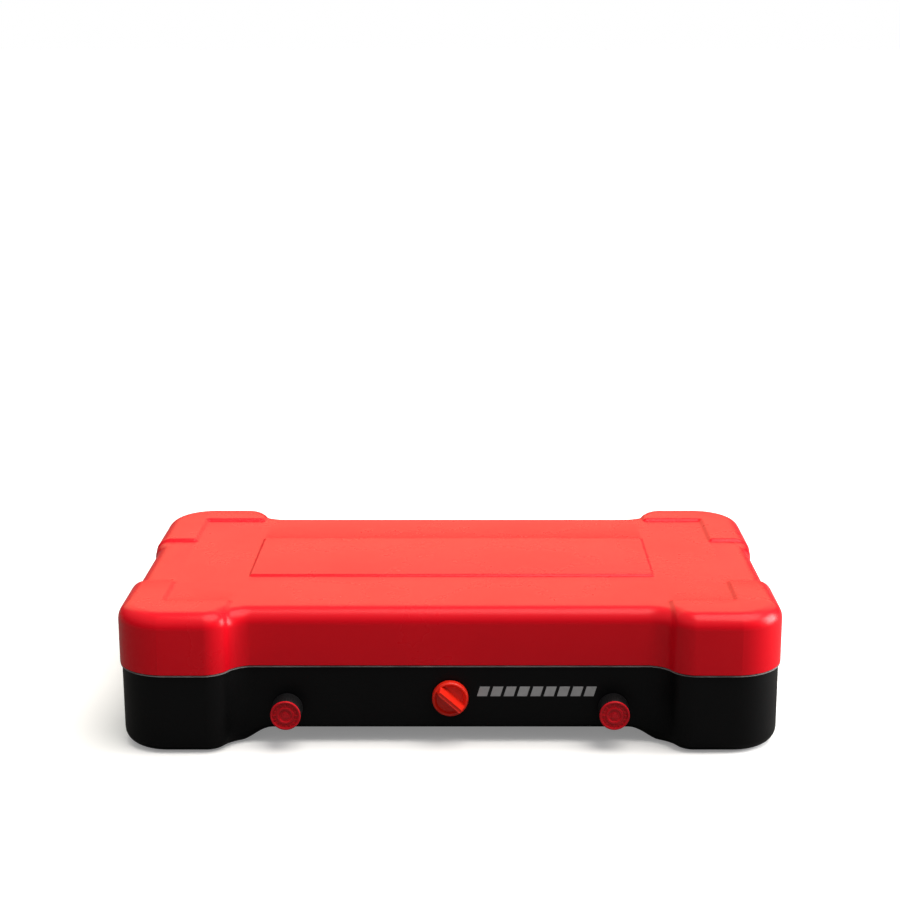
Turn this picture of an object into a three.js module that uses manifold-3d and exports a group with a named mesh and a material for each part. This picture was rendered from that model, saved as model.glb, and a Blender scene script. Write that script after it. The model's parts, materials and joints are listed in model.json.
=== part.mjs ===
// Two-burner gas camp stove, folded shut: a painted steel lid hinged at the back of a black base
// pan, with the grate, drip tray, burners and gas line inside and two windscreens folded in the lid.
// Millimetres, +Z up, +X to the user's right, -Y towards the user. The origin is on the ground
// under the middle of the case.
import * as THREE from 'three';
import { mergeVertices } from 'three/addons/utils/BufferGeometryUtils.js';
import Module from 'manifold-3d';

const wasm = await Module();
wasm.setup();

// Case
const caseWidth = 648;
const caseDepth = 384;
const seamHeight = 81.5;
const lidTop = 138.5;
const padRise = 3;
const panelRise = 2;
const floorHeight = 15.5;
const caseSheet = 1;
const baseStep = 2;
const cornerRadius = 50;
const endRecess = 27.5;
const endSweep = 44;
const bumperWide = 88;
const sideRecess = 4;
const sideSweep = 16;
const frontBumperDeep = 115;
const rearBumperDeep = 131;
const lidEdge = 16;
const padEdge = 5;
const padMargin = 9;
const skirtEdge = 5;
const footEdge = 14;
const footWide = 122;
const footLong = 96;
const footJoin = 40;
const padArm = 47.5;
const padWide = 112;
const frontPadDeep = 55;
const rearPadDeep = 51;
const panelFromSide = 116;
const panelFromFront = 131;
const panelFromRear = 116;
const panelCorner = 10;

// Fits
const gap = 0.3;
const runningGap = 0.35;
const sideGap = 0.4;

// Rear hinges
const hingeFromSweep = 59;
const hingeHalf = 20;
const hingeKnuckle = 4;
const hingePin = 2;
const hingeMiddle = 8;
const hingePlate = 1.5;
const hingePlateReach = 30;
const hingeArmRise = 5;
const hingeBehind = 1;

// Latches on the two sides: `out` is from the base's side wall, `up` from the seam
const latchFromFront = 92;
const latchHalf = 7.1;
const latchPivot = { out: 4.2, up: -15.5 };
const latchPlateDown = 9;
const latchPlateUp = 8;
const latchKnuckle = 2.6;
const latchPin = 1.2;
const latchEar = 3.2;
const latchEarThick = 1.5;
const latchPlate = 1.2;
const latchHandleEnd = -26.5;
const latchHandle = { inner: 0.7, outer: 2.1 };
const latchLug = 1.8;
const loopWire = 1;
const loopBar = { out: 4.2, up: -21.8 };
const loopTop = { out: 4.9, up: 3.9 };
const loopHalf = 10.9;
const keeperThick = 1.2;
const keeperTop = 13.5;
const keeperHookRise = 4;
const keeperHookThick = 2.4;

// Windscreens folded against the lid
const wingFromSide = 20;
const wingBelowTop = 12;
const wingFromFront = 42;
const wingFromRear = 72;
const wingReach = 175;
const wingSheet = 0.8;
const wingKnuckle = 3.6;
const wingPin = 1.8;
const wingClip = { half: 5, thick: 3, below: 5.5 };

// Burners, valves and gas line
const burnerX = 159;
const burnerY = 20;
const gasBelowRim = 19;
const bowlRadius = 26;
const bowlSheet = 2.5;
const bowlBelowRim = 10;
const burnerRadius = 46;
const burnerBelowGrate = 6.2;
const capRise = 7;
const bracketBelowRim = 31;
const bracketSheet = 1.5;
const bracketBeyondBurner = 12;
const bracketFoot = 45;
const bracketDeck = 22;
const mixerRadius = 7.5;
const mixerBore = 6;
const mixerBell = 8.2;
const mixerBellLength = 8;
const airSlot = { start: 12, end: 26, half: 3 };
const valveHalf = 11;
const valveFront = 2;
const valveLength = 26;
const valveBelow = 14;
const valveAbove = 8;
const jetRadius = 3;
const jetLength = 12;
const jetInMixer = 6;
const pipeRadius = 4;
const pipeBelowValve = 8;
const pipeBehindWall = 15;
const inletY = -10;
const inletAboveGas = 1;
const inletRadius = 8;
const inletBore = 5.5;
const inletFlange = 13;
const inletInside = 24;
const inletOutside = 6;
const ceramicRadius = 2.6;
const ceramicBelowRim = 1;
const tipRadius = 0.9;
const tipAboveRim = 3;
const tipGap = 2.5;
const sparkRoom = 4;
const wireRadius = 1.3;

const coverFromSweep = 8;
const coverBelowRim = 8.2;
const coverSheet = 0.8;
const coverToTray = 5.5;
const coverSkirt = 12;

// Knobs and igniter
const stemRadius = 3;
const stemHole = 6.5;
const stemInValve = 10;
const stemReach = 19;
const knobRadius = 15.2;
const knobBack = 1.5;
const knobFront = 23.5;
const knobRim = 1.2;
const knobFaceDeep = 3;
const igniterBelowSeam = 33;
const igniterRadius = 17.7;
const igniterBack = 1.2;
const igniterShoulder = 7;
const igniterDome = 11;
const igniterBar = { long: 31, wide: 8, front: 17 };
const igniterBarTilt = 45;
const spindleRadius = 4;
const spindleInKnob = 6;
const spindleInPiezo = 9;
const spindleHole = 5;
const piezoRadius = 9;
const piezoLength = 38;

// Drip tray and cooking grate
const traySideRoom = 18.5;
const trayRearRoom = 8;
const controlDeep = 48.5;
const trayCorner = 25;
const trayEdge = 5;
const traySheet = 0.8;
const trayDeep = 22.2;
const trayBelowSeam = 11.3;
const trayFlangeX = 8;
const trayFlangeY = 4.5;
const trayHoleRoom = 10;
const ledgeEndRoom = 5;
const ledgeDrop = 12;
const ledgeSheet = 1.5;
const ledgeReach = 2;
const grateBar = 5;
const grateInset = 1.5;
const grateCorner = 22;
const grateRod = 2.1;
const grateRodBelow = 0.4;
const grateRods = 17;
const crossRodY = 66;
const crossRodDrop = 3;

// Smoothness of round stretches
const edgeSteps = 3;
const cornerSteps = 5;
const sweepSteps = 3;
const sideSweepSteps = 2;
const roundSides = 20;
const smallSides = 12;
const rodSides = 6;

// Places that follow from the sizes above
const far = 5000;
const halfWidth = caseWidth / 2;
const halfDepth = caseDepth / 2;
const endRecessHalf = halfWidth - bumperWide - endSweep;
const sideRecessFront = frontBumperDeep - halfDepth;
const sideRecessRear = halfDepth - rearBumperDeep - sideSweep;
const frontWall = -(halfDepth - endRecess - baseStep);
const frontInside = frontWall + caseSheet;
const baseRearWall = -frontWall;
const lidRearWall = halfDepth - endRecess;
const baseSide = halfWidth - baseStep;
const baseSideWall = baseSide - sideRecess;
const baseFloor = floorHeight + caseSheet;
const hingeX = endRecessHalf - hingeFromSweep;
const hingeY = halfDepth + hingeBehind;
const latchY = latchFromFront - halfDepth;
const wingHingeX = halfWidth - wingFromSide;
const wingHingeZ = lidTop - wingBelowTop;
const wingFront = wingFromFront - halfDepth;
const wingRear = halfDepth - wingFromRear;
const bracketHalf = burnerRadius + bracketBeyondBurner;
const electrodeOffset = burnerRadius + sparkRoom;
const trayHole = burnerRadius + trayHoleRoom;
const trayHalfX = baseSideWall - caseSheet - traySideRoom;
const trayFront = frontWall + controlDeep;
const trayRear = baseRearWall - caseSheet - trayRearRoom;
const trayRim = seamHeight - trayBelowSeam;
const trayFloor = trayRim - trayDeep;
const coverHalf = endRecessHalf - coverFromSweep;
const coverTop = trayRim - coverBelowRim;
const coverRear = trayFront - coverToTray;
const valveBack = valveFront + valveLength;
const mixerStart = frontInside + valveBack + jetLength - jetInMixer;
const grateLow = trayRim + gap;
const grateTop = grateLow + grateBar;
const burnerRim = grateLow - burnerBelowGrate - capRise - gap;
const bowlTop = burnerRim - bowlBelowRim;
const bracketTop = burnerRim - bracketBelowRim;
const ceramicTop = burnerRim - ceramicBelowRim;
const tipTop = burnerRim + tipAboveRim;
const gasHeight = burnerRim - gasBelowRim;
const inletZ = gasHeight + inletAboveGas;
const igniterZ = seamHeight - igniterBelowSeam;
const trayHalfY = (trayRear - trayFront) / 2;
const trayMiddle = (trayRear + trayFront) / 2;
const grateHalfX = trayHalfX + trayFlangeX - grateInset;
const grateHalfY = trayHalfY + trayFlangeY - grateInset;
const grateSpacing = (2 * grateHalfX) / (grateRods + 1);

const paint = (color, roughness, metalness) =>
  new THREE.MeshStandardMaterial({ color, roughness, metalness });
const redPaint = paint(0xc8141c, 0.3, 0.1);
const blackPaint = paint(0x101113, 0.45, 0.1);
const redPlastic = paint(0xd8261e, 0.4, 0);
const blackPlastic = paint(0x1c1c1f, 0.5, 0);
const nickel = paint(0xb8b4ac, 0.28, 0.95);
const stainless = paint(0xc4c6c8, 0.32, 0.95);
const zinc = paint(0x9ea2a6, 0.4, 0.9);
const brass = paint(0xb5924c, 0.35, 0.95);
const aluminium = paint(0xa9abad, 0.5, 0.85);
const ceramic = paint(0xe6e2d6, 0.6, 0);
const wireRubber = paint(0x8c1712, 0.6, 0);

const stove = new THREE.Group();

// ---- from geometry to solids and back ----

// Welds the corners, drops flat triangles and turns the faces outwards.
function toSolid(geometry) {
  const bare = geometry.clone();
  bare.deleteAttribute('normal');
  bare.deleteAttribute('uv');
  const welded = mergeVertices(bare, 1e-4);
  const corners = welded.attributes.position;
  const index = welded.index.array;
  const [a, b, c] = [new THREE.Vector3(), new THREE.Vector3(), new THREE.Vector3()];
  const kept = [];
  let volume = 0;
  for (let i = 0; i < index.length; i += 3) {
    const [p, q, r] = [index[i], index[i + 1], index[i + 2]];
    if (p === q || q === r || r === p) continue;
    kept.push([p, q, r]);
    a.fromBufferAttribute(corners, p);
    b.fromBufferAttribute(corners, q);
    c.fromBufferAttribute(corners, r);
    volume += a.dot(b.cross(c));
  }
  const outward = volume > 0 ? kept : kept.map((face) => face.reverse());
  const mesh = new wasm.Mesh({
    numProp: 3,
    vertProperties: new Float32Array(corners.array),
    triVerts: new Uint32Array(outward.flat()),
  });
  return new wasm.Manifold(mesh);
}

function toGeometry(solid) {
  const mesh = solid.getMesh();
  const geometry = new THREE.BufferGeometry();
  geometry.setAttribute('position', new THREE.BufferAttribute(new Float32Array(mesh.vertProperties), 3));
  geometry.setIndex(new THREE.BufferAttribute(new Uint32Array(mesh.triVerts), 1));
  geometry.computeVertexNormals();
  return geometry;
}

function addPiece(parent, name, solid, material) {
  const piece = new THREE.Mesh(toGeometry(solid), material);
  piece.name = name;
  parent.add(piece);
}

function groupAt(x, y, z) {
  const group = new THREE.Group();
  group.position.set(x, y, z);
  stove.add(group);
  return group;
}

// Runs a builder for the left (-1) and the right (+1) side.
function bothSides(build) {
  for (const [side, word] of [[-1, 'left'], [1, 'right']]) build(side, word);
}

// ---- basic shapes ----

function block([x0, x1], [y0, y1], [z0, z1]) {
  const geometry = new THREE.BoxGeometry(Math.abs(x1 - x0), Math.abs(y1 - y0), Math.abs(z1 - z0));
  geometry.translate((x0 + x1) / 2, (y0 + y1) / 2, (z0 + z1) / 2);
  return toSolid(geometry);
}

// A round rod between two points, with a flat of its facets on top.
function rod(from, to, radius, sides = smallSides) {
  const start = new THREE.Vector3(...from);
  const end = new THREE.Vector3(...to);
  const length = start.distanceTo(end);
  const geometry = new THREE.CylinderGeometry(radius, radius, length, sides, 1, false, Math.PI / sides);
  const along = end.clone().sub(start).normalize();
  geometry.applyQuaternion(new THREE.Quaternion().setFromUnitVectors(new THREE.Vector3(0, 1, 0), along));
  const middle = start.lerp(end, 0.5);
  geometry.translate(middle.x, middle.y, middle.z);
  return toSolid(geometry);
}

// A turned solid from [radius, distance] pairs; the axis points along `along`.
function turned(profile, along, sides = roundSides, closed = false) {
  const points = profile.map(([radius, distance]) => new THREE.Vector2(radius, distance));
  if (closed) points.push(points[0].clone());
  const geometry = new THREE.LatheGeometry(points, sides);
  const axis = new THREE.Vector3(...along);
  geometry.applyQuaternion(new THREE.Quaternion().setFromUnitVectors(new THREE.Vector3(0, 1, 0), axis));
  return toSolid(geometry);
}

function prism(outline, low, high) {
  const depth = high - low;
  const geometry = new THREE.ExtrudeGeometry(new THREE.Shape(outline), { depth, bevelEnabled: false });
  geometry.translate(0, 0, low);
  return toSolid(geometry);
}

// A plate cut to a Y-Z profile and extruded along X.
function ribAcross(profile, x0, x1) {
  const outline = profile.map(([y, z]) => new THREE.Vector2(y, z));
  const depth = x1 - x0;
  const geometry = new THREE.ExtrudeGeometry(new THREE.Shape(outline), { depth, bevelEnabled: false });
  const turn = new THREE.Matrix4().makeBasis(
    new THREE.Vector3(0, 1, 0),
    new THREE.Vector3(0, 0, 1),
    new THREE.Vector3(1, 0, 0),
  );
  geometry.applyMatrix4(turn);
  geometry.translate(x0, 0, 0);
  return toSolid(geometry);
}

// A prism whose top or bottom edge is rounded.
function roundedPrism(outline, low, high, radius, end) {
  const geometry = new THREE.ExtrudeGeometry(new THREE.Shape(outline), {
    depth: high - low,
    bevelThickness: radius,
    bevelSize: radius,
    bevelOffset: -radius,
    bevelSegments: edgeSteps,
  });
  geometry.translate(0, 0, end === 'top' ? low - radius : low + radius);
  return toSolid(geometry).intersect(block([-far, far], [-far, far], [low, high]));
}

function tubeAlong(points, radius, sides, steps) {
  const section = new THREE.Shape();
  section.absarc(0, 0, radius, 0, 2 * Math.PI);
  const path = new THREE.CatmullRomCurve3(points.map((point) => new THREE.Vector3(...point)));
  const outline = new THREE.Shape(section.getSpacedPoints(sides).slice(0, sides));
  return toSolid(new THREE.ExtrudeGeometry(outline, { steps, extrudePath: path, bevelEnabled: false }));
}

// ---- outlines ----

function addArc(points, cx, cy, radius, from, to, steps) {
  for (let i = 0; i <= steps; i += 1) {
    const angle = THREE.MathUtils.degToRad(from + ((to - from) * i) / steps);
    points.push(new THREE.Vector2(cx + radius * Math.cos(angle), cy + radius * Math.sin(angle)));
  }
}

function roundedRect(halfX, halfY, radius, middleY) {
  const points = [];
  const [x, front, rear] = [halfX - radius, middleY - halfY + radius, middleY + halfY - radius];
  addArc(points, x, front, radius, 270, 360, cornerSteps);
  addArc(points, x, rear, radius, 0, 90, cornerSteps);
  addArc(points, -x, rear, radius, 90, 180, cornerSteps);
  addArc(points, -x, front, radius, 180, 270, cornerSteps);
  return points;
}

// Radius and swing, in degrees, of the two equal arcs that step a wall in by `shift` over `length`.
function sweepArcs(shift, length) {
  const radius = (length * length + shift * shift) / (4 * shift);
  const swing = THREE.MathUtils.radToDeg(Math.asin(length / (2 * radius)));
  return { radius, swing };
}

// Steps a wall in or out by two arcs. The point where they meet is left out, because it lies on
// the straight line between its neighbours.
function addSweep(points, first, second, steps) {
  addArc(points, ...first, steps);
  const meeting = points.length - 1;
  addArc(points, ...second, steps);
  points.splice(meeting, 2);
}

// The case seen from above: four corner bumpers stand out from the recessed walls between them.
function caseOutline(inset) {
  const end = sweepArcs(endRecess, endSweep);
  const side = sweepArcs(sideRecess, sideSweep);
  const wallY = halfDepth - endRecess;
  const bumperX = endRecessHalf + endSweep;
  const outCentre = wallY + end.radius;
  const inCentre = halfDepth - end.radius;
  const [outR, inR] = [end.radius + inset, end.radius - inset];
  const [sideOutX, sideInX] = [halfWidth - sideRecess + side.radius, halfWidth - side.radius];
  const [sideOutR, sideInR] = [side.radius + inset, side.radius - inset];
  const cornerX = halfWidth - cornerRadius;
  const cornerY = halfDepth - cornerRadius;
  const corner = cornerRadius - inset;
  const right = [];
  addSweep(right, [endRecessHalf, -outCentre, outR, 90, 90 - end.swing],
    [bumperX, -inCentre, inR, 270 - end.swing, 270], sweepSteps);
  addArc(right, cornerX, -cornerY, corner, 270, 360, cornerSteps);
  addSweep(right, [sideInX, sideRecessFront, sideInR, 0, side.swing],
    [sideOutX, sideRecessFront + sideSweep, sideOutR, 180 + side.swing, 180], sideSweepSteps);
  addSweep(right, [sideOutX, sideRecessRear, sideOutR, 180, 180 - side.swing],
    [sideInX, sideRecessRear + sideSweep, sideInR, -side.swing, 0], sideSweepSteps);
  addArc(right, cornerX, cornerY, corner, 0, 90, cornerSteps);
  addSweep(right, [bumperX, inCentre, inR, 90, 90 + end.swing],
    [endRecessHalf, outCentre, outR, 270 + end.swing, 270], sweepSteps);
  const left = right.map((point) => new THREE.Vector2(-point.x, point.y)).reverse();
  return [...right, ...left];
}

// ---- lid ----

// Cuts an L-shaped raised pad for one corner, shrunk by the inset.
function cornerPadCut(sideX, sideY, inset) {
  const [padDeep, bumperDeep] = sideY < 0 ? [frontPadDeep, frontBumperDeep] : [rearPadDeep, rearBumperDeep];
  const outwards = (side, from) => [side * (from + inset), side * far];
  const band = block(outwards(sideX, halfWidth - padWide), outwards(sideY, halfDepth - padDeep), [0, far]);
  const arm = block(outwards(sideX, halfWidth - padArm), outwards(sideY, halfDepth - bumperDeep), [0, far]);
  return band.add(arm);
}

// The lid's outer form, or with an inset its hollow.
function lidForm(inset, low) {
  const top = lidTop - inset;
  const body = roundedPrism(caseOutline(inset), low, top, lidEdge - inset, 'top');
  const padShape = caseOutline(padMargin + inset);
  const padBlock = roundedPrism(padShape, top - padEdge, top + padRise, padEdge - inset, 'top');
  let form = body;
  for (const sideX of [-1, 1]) {
    for (const sideY of [-1, 1]) form = form.add(padBlock.intersect(cornerPadCut(sideX, sideY, inset)));
  }
  const panelMiddle = (panelFromFront - panelFromRear) / 2;
  const panelHalfY = halfDepth - (panelFromFront + panelFromRear) / 2 - inset;
  const panelOutline = roundedRect(halfWidth - panelFromSide - inset, panelHalfY, panelCorner, panelMiddle);
  return form.add(roundedPrism(panelOutline, top - panelRise, top + panelRise, panelRise, 'top'));
}

function buildLid() {
  const low = seamHeight + gap;
  const shell = lidForm(0, low).subtract(lidForm(caseSheet, low - caseSheet));
  addPiece(stove, 'lid_shell', shell, redPaint);
}

// ---- base pan with its four corner feet ----

function footBlocks(inset) {
  let blocks = null;
  for (const sideX of [-1, 1]) {
    for (const sideY of [-1, 1]) {
      const across = [sideX * (halfWidth - footWide + inset), sideX * far];
      const along = [sideY * (halfDepth - footLong + inset), sideY * far];
      const foot = block(across, along, [-far, far]);
      blocks = blocks ? blocks.add(foot) : foot;
    }
  }
  return blocks;
}

function panForm(inset, high) {
  const outline = caseOutline(baseStep + inset);
  const pan = roundedPrism(outline, floorHeight + inset, high, skirtEdge - inset, 'bottom');
  const feet = roundedPrism(outline, inset, footJoin, footEdge - inset, 'bottom').intersect(footBlocks(inset));
  return pan.add(feet);
}

function buildBase() {
  let pan = panForm(0, seamHeight - gap).subtract(panForm(caseSheet, seamHeight + caseSheet));
  for (const side of [-1, 1]) {
    const x = side * burnerX;
    pan = pan.subtract(rod([x, frontWall - gap, gasHeight], [x, frontInside + gap, gasHeight], stemHole));
  }
  pan = pan.subtract(rod([0, frontWall - gap, igniterZ], [0, frontInside + gap, igniterZ], spindleHole));
  const inletFrom = [baseSideWall - caseSheet - gap, inletY, inletZ];
  const inletTo = [baseSideWall + gap, inletY, inletZ];
  pan = pan.subtract(rod(inletFrom, inletTo, inletRadius + 2 * sideGap, roundSides));
  addPiece(stove, 'base_case', pan, blackPaint);
}

// ---- rear hinges ----

// A leaf seen from the side: a plate on the wall and an arm back to the knuckle on the axis.
function hingeLeaf(wall, direction) {
  const plate = wall - hingeY + gap;
  const outer = plate + hingePlate;
  const profile = [
    [plate, direction * hingePlateReach],
    [outer, direction * hingePlateReach],
    [outer, direction * (hingeArmRise + 3)],
    [-1, direction * (hingeKnuckle - 0.8)],
    [-hingeKnuckle + 1, direction * 0.8],
    [plate, direction * hingeArmRise],
  ];
  return ribAcross(profile, -hingeHalf, hingeHalf);
}

function hingeRod(from, to, radius) {
  return rod([from, 0, 0], [to, 0, 0], radius);
}

function buildHinges() {
  const bore = hingeRod(-far, far, hingePin + runningGap);
  const clear = hingeKnuckle + 2 * gap;
  const middleEnd = hingeMiddle + sideGap;
  const ends = hingeRod(-hingeHalf, -middleEnd, hingeKnuckle).add(hingeRod(middleEnd, hingeHalf, hingeKnuckle));
  const endsRoom = hingeRod(-far, -hingeMiddle, clear).add(hingeRod(hingeMiddle, far, clear));
  const middleRoom = hingeRod(-middleEnd, middleEnd, clear);
  bothSides((side, word) => {
    const place = groupAt(side * hingeX, hingeY, seamHeight);
    const lidLeaf = hingeLeaf(lidRearWall, 1).subtract(endsRoom)
      .add(hingeRod(-hingeMiddle, hingeMiddle, hingeKnuckle)).subtract(bore);
    const baseLeaf = hingeLeaf(baseRearWall, -1).subtract(middleRoom).add(ends).subtract(bore);
    addPiece(place, `hinge_leaf_lid_${word}`, lidLeaf, blackPaint);
    addPiece(place, `hinge_leaf_base_${word}`, baseLeaf, blackPaint);
    addPiece(place, `hinge_pin_${word}`, hingeRod(-hingeHalf - 1, hingeHalf + 1, hingePin), zinc);
  });
}

// ---- side latches, in frames on the base's side wall at the height of the seam ----

function latchBracket(side) {
  const { out, up } = latchPivot;
  const width = loopHalf - loopWire - gap;
  const earFrom = latchHalf + sideGap;
  const plateFace = gap + latchPlate;
  let bracket = block([side * gap, side * plateFace], [-width, width],
    [up - latchPlateDown, up + latchPlateUp]);
  for (const hand of [-1, 1]) {
    const across = [hand * earFrom, hand * (earFrom + latchEarThick)];
    const web = block([side * gap, side * out], across, [up - latchEar, up + latchEar]);
    const ear = rod([side * out, across[0], up], [side * out, across[1], up], latchEar);
    bracket = bracket.add(web).add(ear);
  }
  const pinEnd = earFrom + latchEarThick / 2;
  return bracket.add(rod([side * out, -pinEnd, up], [side * out, pinEnd, up], latchPin));
}

function latchLever(side) {
  const { out, up } = latchPivot;
  const knuckle = rod([side * out, -latchHalf, up], [side * out, latchHalf, up], latchKnuckle);
  const face = side * (out + latchHandle.outer);
  const across = [-latchHalf, latchHalf];
  const handle = block([side * (out + latchHandle.inner), face], across, [latchHandleEnd, up]);
  const lug = block([side * (loopBar.out - latchLug), face], across,
    [loopBar.up - latchLug, loopBar.up + latchLug]);
  const pinBore = rod([side * out, -far, up], [side * out, far, up], latchPin + runningGap);
  const barBore = rod([side * loopBar.out, -far, loopBar.up], [side * loopBar.out, far, loopBar.up],
    loopWire + gap);
  return knuckle.add(handle).add(lug).subtract(pinBore).subtract(barBore);
}

function latchLoop(side) {
  const corner = (place, hand) => [side * place.out, hand * loopHalf, place.up];
  const past = loopHalf + loopWire * 0.9;
  const bar = (place) => rod([side * place.out, -past, place.up], [side * place.out, past, place.up],
    loopWire, smallSides);
  let loop = bar(loopBar).add(bar(loopTop));
  for (const hand of [-1, 1]) loop = loop.add(rod(corner(loopBar, hand), corner(loopTop, hand), loopWire));
  return loop;
}

function latchKeeper(side) {
  const wall = baseStep + gap;
  const face = wall + keeperThick;
  const lipTop = loopTop.up - loopWire - gap - 0.1;
  const hookInside = loopTop.out + loopWire + sideGap;
  const across = [-latchHalf, latchHalf];
  const hookOut = side * (hookInside + keeperHookThick);
  const plate = block([side * wall, side * face], across, [lipTop - keeperThick, keeperTop]);
  const lip = block([side * wall, hookOut], across, [lipTop - keeperThick, lipTop]);
  const hook = block([side * hookInside, hookOut], across, [lipTop - keeperThick, lipTop + keeperHookRise]);
  return plate.add(lip).add(hook);
}

function buildLatches() {
  bothSides((side, word) => {
    const place = groupAt(side * baseSide, latchY, seamHeight);
    addPiece(place, `latch_bracket_${word}`, latchBracket(side), blackPaint);
    addPiece(place, `latch_lever_${word}`, latchLever(side), blackPaint);
    addPiece(place, `latch_loop_${word}`, latchLoop(side), blackPaint);
    addPiece(place, `latch_keeper_${word}`, latchKeeper(side), blackPaint);
  });
}

// ---- windscreens ----

function buildWindscreens() {
  const clipRear = wingRear + wingClip.thick;
  const clipFront = wingFront - wingClip.thick;
  const bore = rod([0, -far, 0], [0, far, 0], wingPin + runningGap);
  const clipTop = lidTop - caseSheet - sideGap - wingHingeZ;
  bothSides((side, word) => {
    const place = groupAt(side * wingHingeX, 0, wingHingeZ);
    const along = [wingFront + sideGap, wingRear - sideGap];
    const panel = block([0, -side * wingReach], along, [-wingSheet / 2, wingSheet / 2]);
    const knuckle = rod([0, along[0], 0], [0, along[1], 0], wingKnuckle);
    addPiece(place, `windscreen_${word}`, panel.add(knuckle).subtract(bore), stainless);
    addPiece(place, `windscreen_pin_${word}`, rod([0, clipFront - 1, 0], [0, clipRear + 1, 0], wingPin), zinc);
    for (const [end, from, to] of [['front', clipFront, wingFront], ['rear', wingRear, clipRear]]) {
      const clip = block([-wingClip.half, wingClip.half], [from, to], [-wingClip.below, clipTop]);
      addPiece(place, `windscreen_clip_${end}_${word}`, clip.subtract(bore), zinc);
    }
  });
}

// ---- burners: frames at each burner's middle, heights from the ground ----

function burnerBody() {
  const wall = bowlRadius - bowlSheet;
  const low = bracketTop + gap;
  const bowl = turned([
    [0, low],
    [bowlRadius, low],
    [bowlRadius, bowlTop],
    [burnerRadius, burnerRim - 4],
    [burnerRadius, burnerRim],
    [burnerRadius - bowlSheet, burnerRim],
    [burnerRadius - bowlSheet, burnerRim - 2],
    [wall, bowlTop + 2],
    [wall, low + bowlSheet],
    [0, low + bowlSheet],
  ], [0, 0, 1]);
  return bowl.subtract(rod([0, -bowlRadius - 1, gasHeight], [0, -wall / 2, gasHeight], mixerBore));
}

function burnerCap() {
  const low = burnerRim + gap;
  return turned([
    [0, low],
    [burnerRadius - 1, low],
    [burnerRadius, low + 1.7],
    [burnerRadius - 2, low + capRise - 2],
    [burnerRadius * 0.65, low + capRise - 0.5],
    [0, low + capRise],
  ], [0, 0, 1]);
}

function burnerBracket() {
  const low = baseFloor + gap;
  const riser = bracketDeck + 5;
  const profile = [
    [-bracketFoot, low],
    [-riser, low],
    [-bracketDeck, bracketTop - bracketSheet],
    [bracketDeck, bracketTop - bracketSheet],
    [riser, low],
    [bracketFoot, low],
    [bracketFoot, low + bracketSheet],
    [riser + 0.8, low + bracketSheet],
    [bracketDeck + 0.8, bracketTop],
    [-bracketDeck - 0.8, bracketTop],
    [-riser - 0.8, low + bracketSheet],
    [-bracketFoot, low + bracketSheet],
  ];
  return ribAcross(profile, -bracketHalf, bracketHalf);
}

// Runs from the jet to the bowl and ends on the bowl's round wall.
function mixerTube() {
  const start = mixerStart - burnerY;
  const length = -bowlRadius / 2 - start;
  const tube = turned([
    [mixerBell - 1.2, 0],
    [mixerBell, 0],
    [mixerBell, 2],
    [mixerRadius, mixerBellLength],
    [mixerRadius, length],
    [mixerBore, length],
    [mixerBore, mixerBellLength],
  ], [0, 1, 0], smallSides, true);
  const slotY = [airSlot.start, airSlot.end];
  const slots = block([-airSlot.half, airSlot.half], slotY, [-far, far]);
  const placed = new THREE.Matrix4().makeTranslation(0, start, gasHeight);
  const room = bowlRadius + gap;
  const bowlRoom = turned([[0, 0], [room, 0], [room, far], [0, far]], [0, 0, 1]);
  return tube.subtract(slots).transform(placed.elements).subtract(bowlRoom);
}

// Ceramic spark electrode on the bracket, its tip bent towards the burner.
function electrode(inward) {
  const foot = bracketTop + gap;
  const x = inward * electrodeOffset;
  const tipX = inward * (burnerRadius + tipGap);
  const stand = rod([x, 0, foot], [x, 0, foot + 2], ceramicRadius + 2, smallSides);
  const ceramicBody = rod([x, 0, foot], [x, 0, ceramicTop], ceramicRadius, smallSides);
  const pin = rod([x, 0, ceramicTop - 1], [x, 0, tipTop], tipRadius, rodSides);
  const tip = rod([x + inward * 0.5, 0, tipTop - 0.6], [tipX, 0, tipTop - 0.6], tipRadius, rodSides);
  return stand.add(ceramicBody).add(pin).add(tip);
}

function buildBurners() {
  bothSides((side, word) => {
    const place = groupAt(side * burnerX, burnerY, 0);
    addPiece(place, `burner_body_${word}`, burnerBody(), aluminium);
    addPiece(place, `burner_cap_${word}`, burnerCap(), zinc);
    addPiece(place, `burner_bracket_${word}`, burnerBracket(), zinc);
    addPiece(place, `mixer_tube_${word}`, mixerTube(), zinc);
    addPiece(place, `electrode_${word}`, electrode(-side), ceramic);
  });
}

// ---- valves and gas line ----

function valveBody() {
  const box = block([-valveHalf, valveHalf], [valveFront, valveBack], [-valveBelow, valveAbove]);
  const jet = rod([0, valveBack - 1, 0], [0, valveBack + jetLength, 0], jetRadius);
  const stemBore = rod([0, valveFront - 1, 0], [0, valveFront + stemInValve, 0], stemRadius + runningGap);
  return box.add(jet).subtract(stemBore);
}

function gasInlet() {
  return turned([
    [0, -inletInside],
    [inletRadius, -inletInside],
    [inletRadius, gap],
    [inletFlange, gap],
    [inletFlange, inletOutside - 2],
    [inletRadius + 1.2, inletOutside - 2],
    [inletRadius + 1.2, inletOutside],
    [inletBore, inletOutside],
    [inletBore, -inletInside + 4],
    [0, -inletInside + 4],
  ], [1, 0, 0]);
}

// Heat shield over the valves and the igniter, between the front wall and the drip tray.
function buildValveCover() {
  const deck = block([-coverHalf, coverHalf], [frontInside + gap, coverRear], [coverTop - coverSheet, coverTop]);
  const skirtLow = coverTop - coverSkirt;
  const skirt = block([-coverHalf, coverHalf], [coverRear - coverSheet, coverRear], [skirtLow, coverTop]);
  addPiece(stove, 'valve_cover', deck.add(skirt), stainless);
}

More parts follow.
